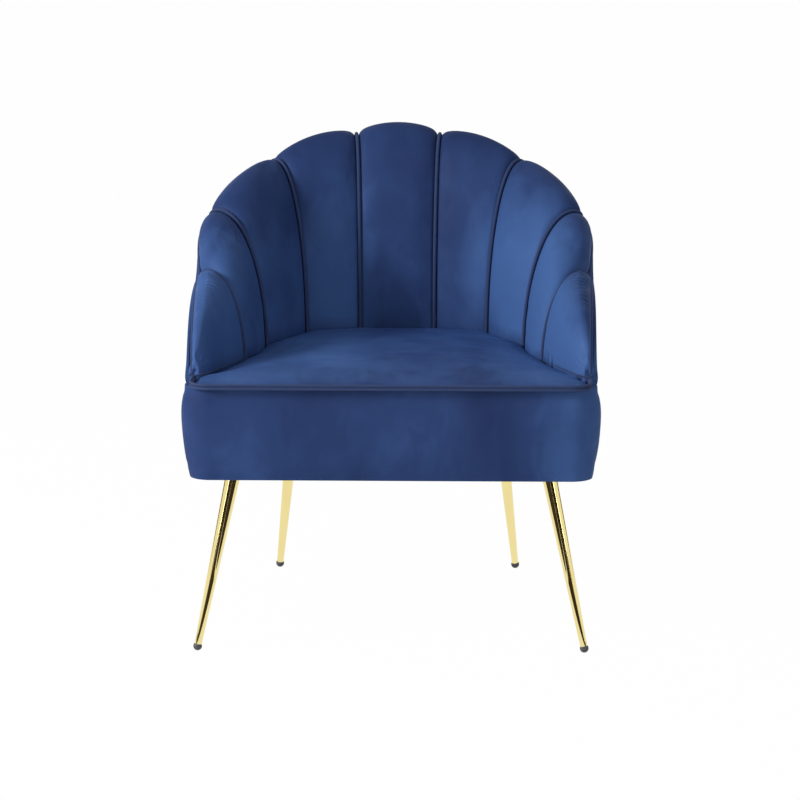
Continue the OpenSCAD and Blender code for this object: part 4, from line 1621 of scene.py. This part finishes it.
@dataclass
class BaseApron:
    """The boxed, padded base that runs all round, with its hem turned under."""

    form: ShellForm = FORM
    taper: float = 11.0
    corner_r: float = 46.0
    base_front: float = -299.3
    hem_w: float = 11.0
    hem_drop: float = 3.0
    frame_in: float = 16.7
    lap: float = 9.0
    lap_from: float = 2.0
    edge_in: float = 0.8
    cloth_t: float = 1.8
    top_t: float = 3.0
    widest_at: float = 0.72
    taper_power: float = 1.6
    shoulder_power: float = 2.5
    shoulder_in: float = 10.8
    front_top: float = 429.1
    around: int = 420
    rows: int = 22

    def plan(self) -> tuple[np.ndarray, np.ndarray, np.ndarray]:
        """The widest outline, its outward directions, and the height of its top edge.

        Returns:
            Points, directions and heights.
        """
        q = np.linspace(-self.form.tip, self.form.tip, 181)
        out = self.form.low_out(q)
        points, ways = [self.form.low(q) + out * self.form.base_lip], [out]
        tops = [np.full(len(q), self.form.shoulder_z)]
        x, y = self.form.half_w - self.corner_r, self.base_front + self.corner_r
        for side in (Side.RIGHT, Side.LEFT):
            angles = np.linspace(0, -math.pi / 2, 12)
            angles = angles if side is Side.RIGHT else -math.pi - angles[::-1]
            way = np.stack([np.cos(angles), np.sin(angles)], 1)
            points.append(np.array([side.value * x, y]) + self.corner_r * way)
            ways.append(way)
            tops.append(np.full(len(way), self.front_top))
        carry = np.column_stack([np.vstack(ways), np.concatenate(tops)])
        even, carried = resample(np.vstack(points), self.around, True, carry)
        return even, unit(carried[:, :2]), carried[:, 2]

    def inset(self, z: np.ndarray) -> np.ndarray:
        """How far the base draws in at a height.

        Args:
            z: the heights.

        Returns:
            The distances in millimetres.
        """
        widest = between(self.form.base_h, self.form.shoulder_z, self.widest_at)
        below = self.taper * np.clip((widest - z) / (widest - self.form.base_h), 0, 1) ** self.taper_power
        past = np.clip((z - widest) / (self.form.shoulder_z - widest), 0, 1)
        return below + 0.5 * self.shoulder_in * past**self.shoulder_power

    def build(self) -> None:
        """Builds the apron."""
        plan, ways, tops = self.plan()
        base, top_in = self.form.base_h - self.hem_drop, 0.5 * self.shoulder_in

        def ring(inset: Any, z: Any) -> np.ndarray:
            """A closed line round the base."""
            p = plan - ways * np.broadcast_to(inset, len(plan))[:, None]
            return np.column_stack([p, np.broadcast_to(z, len(plan))])

        shares = np.linspace(0, 1, self.rows) ** 0.85
        outer = [between(tops, base, s) for s in shares]
        hem_end = self.taper + self.hem_w - 1.0
        rings = [ring(top_in + self.lap, tops), ring(top_in + self.lap_from, tops)]
        for k, z in enumerate(outer):
            rings.append(ring(self.inset(z) + (self.edge_in if k in (0, self.rows - 1) else 0.0), z))
        rings += [ring(self.taper + 2 * self.edge_in, base), ring(hem_end, base)]
        rings += [ring(hem_end, base + self.cloth_t), ring(self.frame_in + 0.2, base + self.cloth_t + 0.4)]
        rings += [ring(self.frame_in, tops - self.top_t), ring(top_in + self.lap, tops - self.top_t)]
        piece = Bench.loft("base_apron", np.array(rings))
        free = {tuple(np.round(v, 5)) for ring_points in rings[4:self.rows] for v in to_metres(ring_points)}
        Upholstery.settle(piece, lambda v: tuple(np.round(v.co, 5)) not in free, 2.0, 2.0, 0.002)
        Bench.smooth(piece, 50)
        Bench.hand_over(piece, Finish.VELVET, "base_cover", "base_wadding")


@dataclass
class CadDress:
    """Finishes for the CAD nodes that stay as they are."""

    finishes: dict = field(default_factory=lambda: {
        "base_plate": Finish.PLYWOOD, "front_rail": Finish.PLYWOOD, "side_rail": Finish.PLYWOOD,
        "rear_rail": Finish.PLYWOOD, "rib_": Finish.PLYWOOD, "arm_post": Finish.PLYWOOD,
        "rim_rails": Finish.PLYWOOD, "tack_rails": Finish.PLYWOOD, "webbing": Finish.WEBBING,
        "felt_pad": Finish.FELT, "dust_cover": Finish.DUST_CLOTH, "leg_screws": Finish.ZINC,
        "leg_": Finish.GOLD, "glide_": Finish.GLIDE,
    })

    def make(self, nodes: dict[str, bpy.types.Object]) -> None:
        """Assigns the finishes.

        Args:
            nodes: the CAD nodes by name.
        """
        for name, node in sorted(nodes.items()):
            found = next((f for start, f in self.finishes.items() if name.startswith(start)), None)
            if found is None or node.hide_render:
                continue
            for slot in node.material_slots:
                slot.material = found.material
            log.info("%s: CAD node in %s", name, found.slot)


# ---------------------------------------------------------------- studio


@dataclass
class Studio:
    """Camera at the photograph's angle, plain soft light, a pale floor and a white surround."""

    look: tuple = (0.0096, -0.0275, 0.3557)
    azimuth: float = 1.2
    elevation: float = 12.0
    distance: float = 4.6
    lens: float = 125.14
    ambient: float = 0.31
    floor_size: float = 30.0
    floor_glow: float = 0.985
    flag_colour: tuple = (0.05, 0.04, 0.03, 1)
    lamps: tuple = (
        ("key", (-2.9, -1.6, 1.7), (0, 0, 0.5), (1.0, 1.0), 100.0),
        ("fill", (1.0, -3.6, 1.3), (0, 0, 0.4), (1.0, 1.0), 15.0),
        ("top", (0.0, -2.2, 3.2), (0, 0, 0.4), (1.8, 1.2), 8.0),
    )
    flags: tuple = (
        ("low", (1.6, 3.5), (0.82, -2.19, 0.002), (0.0, 0.0)),
        ("front", (3.0, 1.3), (1.75, -4.0, 0.62), (math.pi / 2, 0.0)),
        ("rear", (0.8, 1.4), (1.95, 0.85, 0.7), (math.pi / 2, -math.radians(56))),
    )

    def camera(self) -> None:
        """Places the camera."""
        a, e = math.radians(self.azimuth), math.radians(self.elevation)
        back = Vector((math.sin(a) * math.cos(e), -math.cos(a) * math.cos(e), math.sin(e)))
        place = Vector(self.look) + back * self.distance
        Bench.clear()
        bpy.ops.object.camera_add(location=place, rotation=back.to_track_quat("Z", "Y").to_euler())
        made = bpy.context.object
        made.name = "camera"
        made.data.lens = self.lens
        made.data.sensor_width = 36.0
        bpy.context.scene.camera = made

    def lamp(self, name: str, place: Point, aim: Point, size: tuple[float, float], power: float) -> None:
        """Adds a soft rectangular lamp.

        Args:
            name: its name.
            place: where it stands.
            aim: what it points at.
            size: its width and height, in metres.
            power: its power, in watts.
        """
        Bench.clear()
        way = Vector(place) - Vector(aim)
        bpy.ops.object.light_add(type="AREA", location=place, rotation=way.to_track_quat("Z", "Y").to_euler())
        made = bpy.context.object
        made.name = name
        made.data.shape = "RECTANGLE"
        made.data.size, made.data.size_y = size
        made.data.energy = power

    def flag(self, name: str, size: tuple[float, float], place: Point, turn: Point = (0.0, 0.0, 0.0)) -> None:
        """Adds a black card that only mirror-like surfaces see, as a photographer's flag.

        Args:
            name: its name.
            size: its width and height, in metres.
            place: its middle.
            turn: its turn about each axis, in radians, from lying flat.
        """
        Bench.clear()
        bpy.ops.mesh.primitive_plane_add(size=1, location=place, rotation=turn)
        made = bpy.context.object
        made.name = name
        made.scale = (*size, 1.0)
        material = bpy.data.materials.new(name)
        material.use_nodes = True
        shader = material.node_tree.nodes["Principled BSDF"]
        shader.inputs["Base Color"].default_value = self.flag_colour
        shader.inputs["Roughness"].default_value = 0.9
        shader.inputs["Specular IOR Level"].default_value = 0.0
        made.data.materials.append(material)
        made.visible_camera = made.visible_diffuse = made.visible_shadow = False

    def seen(self, tree: Any) -> Any:
        """Adds the mask of the rays that see the surround: camera, mirror and glass rays.

        Args:
            tree: the node tree.

        Returns:
            The mask's socket.
        """
        rays = tree.nodes.new("ShaderNodeLightPath")
        total = rays.outputs["Is Camera Ray"]
        for name in ("Is Glossy Ray", "Is Transmission Ray"):
            add = tree.nodes.new("ShaderNodeMath")
            add.operation, add.use_clamp = "ADD", True
            tree.links.new(total, add.inputs[0])
            tree.links.new(rays.outputs[name], add.inputs[1])
            total = add.outputs[0]
        return total

    def shade(self, tree: Any, kind: str, **inputs: Any) -> Any:
        """Adds a shader node with its sockets set.

        Args:
            tree: the node tree.
            kind: the node's type.
            inputs: values of its sockets by name.

        Returns:
            The node.
        """
        made = tree.nodes.new(kind)
        for key, value in inputs.items():
            made.inputs[key].default_value = value
        return made

    def blend(self, tree: Any, mask: Any, shades: list, output: str) -> None:
        """Mixes two shader nodes by a mask and puts them out.

        Args:
            tree: the node tree.
            mask: the socket that is 0 for the first and 1 for the second.
            shades: the two nodes.
            output: the output node's type.
        """
        mix = tree.nodes.new("ShaderNodeMixShader")
        for socket, source in zip(mix.inputs, (mask, *(shade.outputs[0] for shade in shades))):
            tree.links.new(source, socket)
        tree.links.new(mix.outputs[0], tree.nodes.new(output).inputs["Surface"])

    def world(self) -> None:
        """White where it is seen, and a plain level of light elsewhere."""
        world = bpy.data.worlds.new("surround")
        world.use_nodes = True
        tree = world.node_tree
        tree.nodes.clear()
        shades = [
            self.shade(tree, "ShaderNodeBackground", Color=(1, 1, 1, 1), Strength=strength)
            for strength in (self.ambient, 1.0)
        ]
        self.blend(tree, self.seen(tree), shades, "ShaderNodeOutputWorld")
        bpy.context.scene.world = world

    def floor(self) -> None:
        """A pale floor that looks white to the camera and keeps a soft shadow."""
        Bench.clear()
        bpy.ops.mesh.primitive_plane_add(size=self.floor_size, location=(0, 0, -0.0005))
        made = bpy.context.object
        made.name = "floor"
        material = bpy.data.materials.new("pale_floor")
        material.use_nodes = True
        tree = material.node_tree
        tree.nodes.clear()
        share = tree.nodes.new("ShaderNodeMath")
        share.operation = "MULTIPLY"
        share.inputs[1].default_value = self.floor_glow
        tree.links.new(self.seen(tree), share.inputs[0])
        shades = [
            self.shade(tree, "ShaderNodeBsdfDiffuse", Color=(0.9, 0.9, 0.9, 1)),
            self.shade(tree, "ShaderNodeEmission", Color=(1, 1, 1, 1), Strength=1.0),
        ]
        self.blend(tree, share.outputs[0], shades, "ShaderNodeOutputMaterial")
        made.data.materials.append(material)

    def make(self) -> None:
        """Builds the studio."""
        bpy.context.scene.view_settings.view_transform = "Standard"
        self.camera()
        self.world()
        self.floor()
        for lamp in self.lamps:
            self.lamp(*lamp)
        for side in Side:
            sign, name = side.value, side.name.lower()
            self.lamp(f"strip_{name}", (sign * 2.35, -2.7, 0.8), (sign * 0.2, -0.2, 0.3), (0.14, 1.3), 4.0)
            for kind, size, (x, y, z), (tilt, swing) in self.flags:
                self.flag(f"flag_{kind}_{name}", size, (sign * x, y, z), (tilt, 0.0, sign * swing))


def main() -> None:
    """Builds the chair's looks round the frame."""
    Studio().make()
    Channels().make()
    Pipings().seams()
    Pipings().rim()
    OutsideCovers().make()
    seat = SeatPad()
    seat.build()
    seat.welt()
    BaseApron().build()
    CadDress().make(frame["nodes"])


if __name__ == "__main__":
    main()
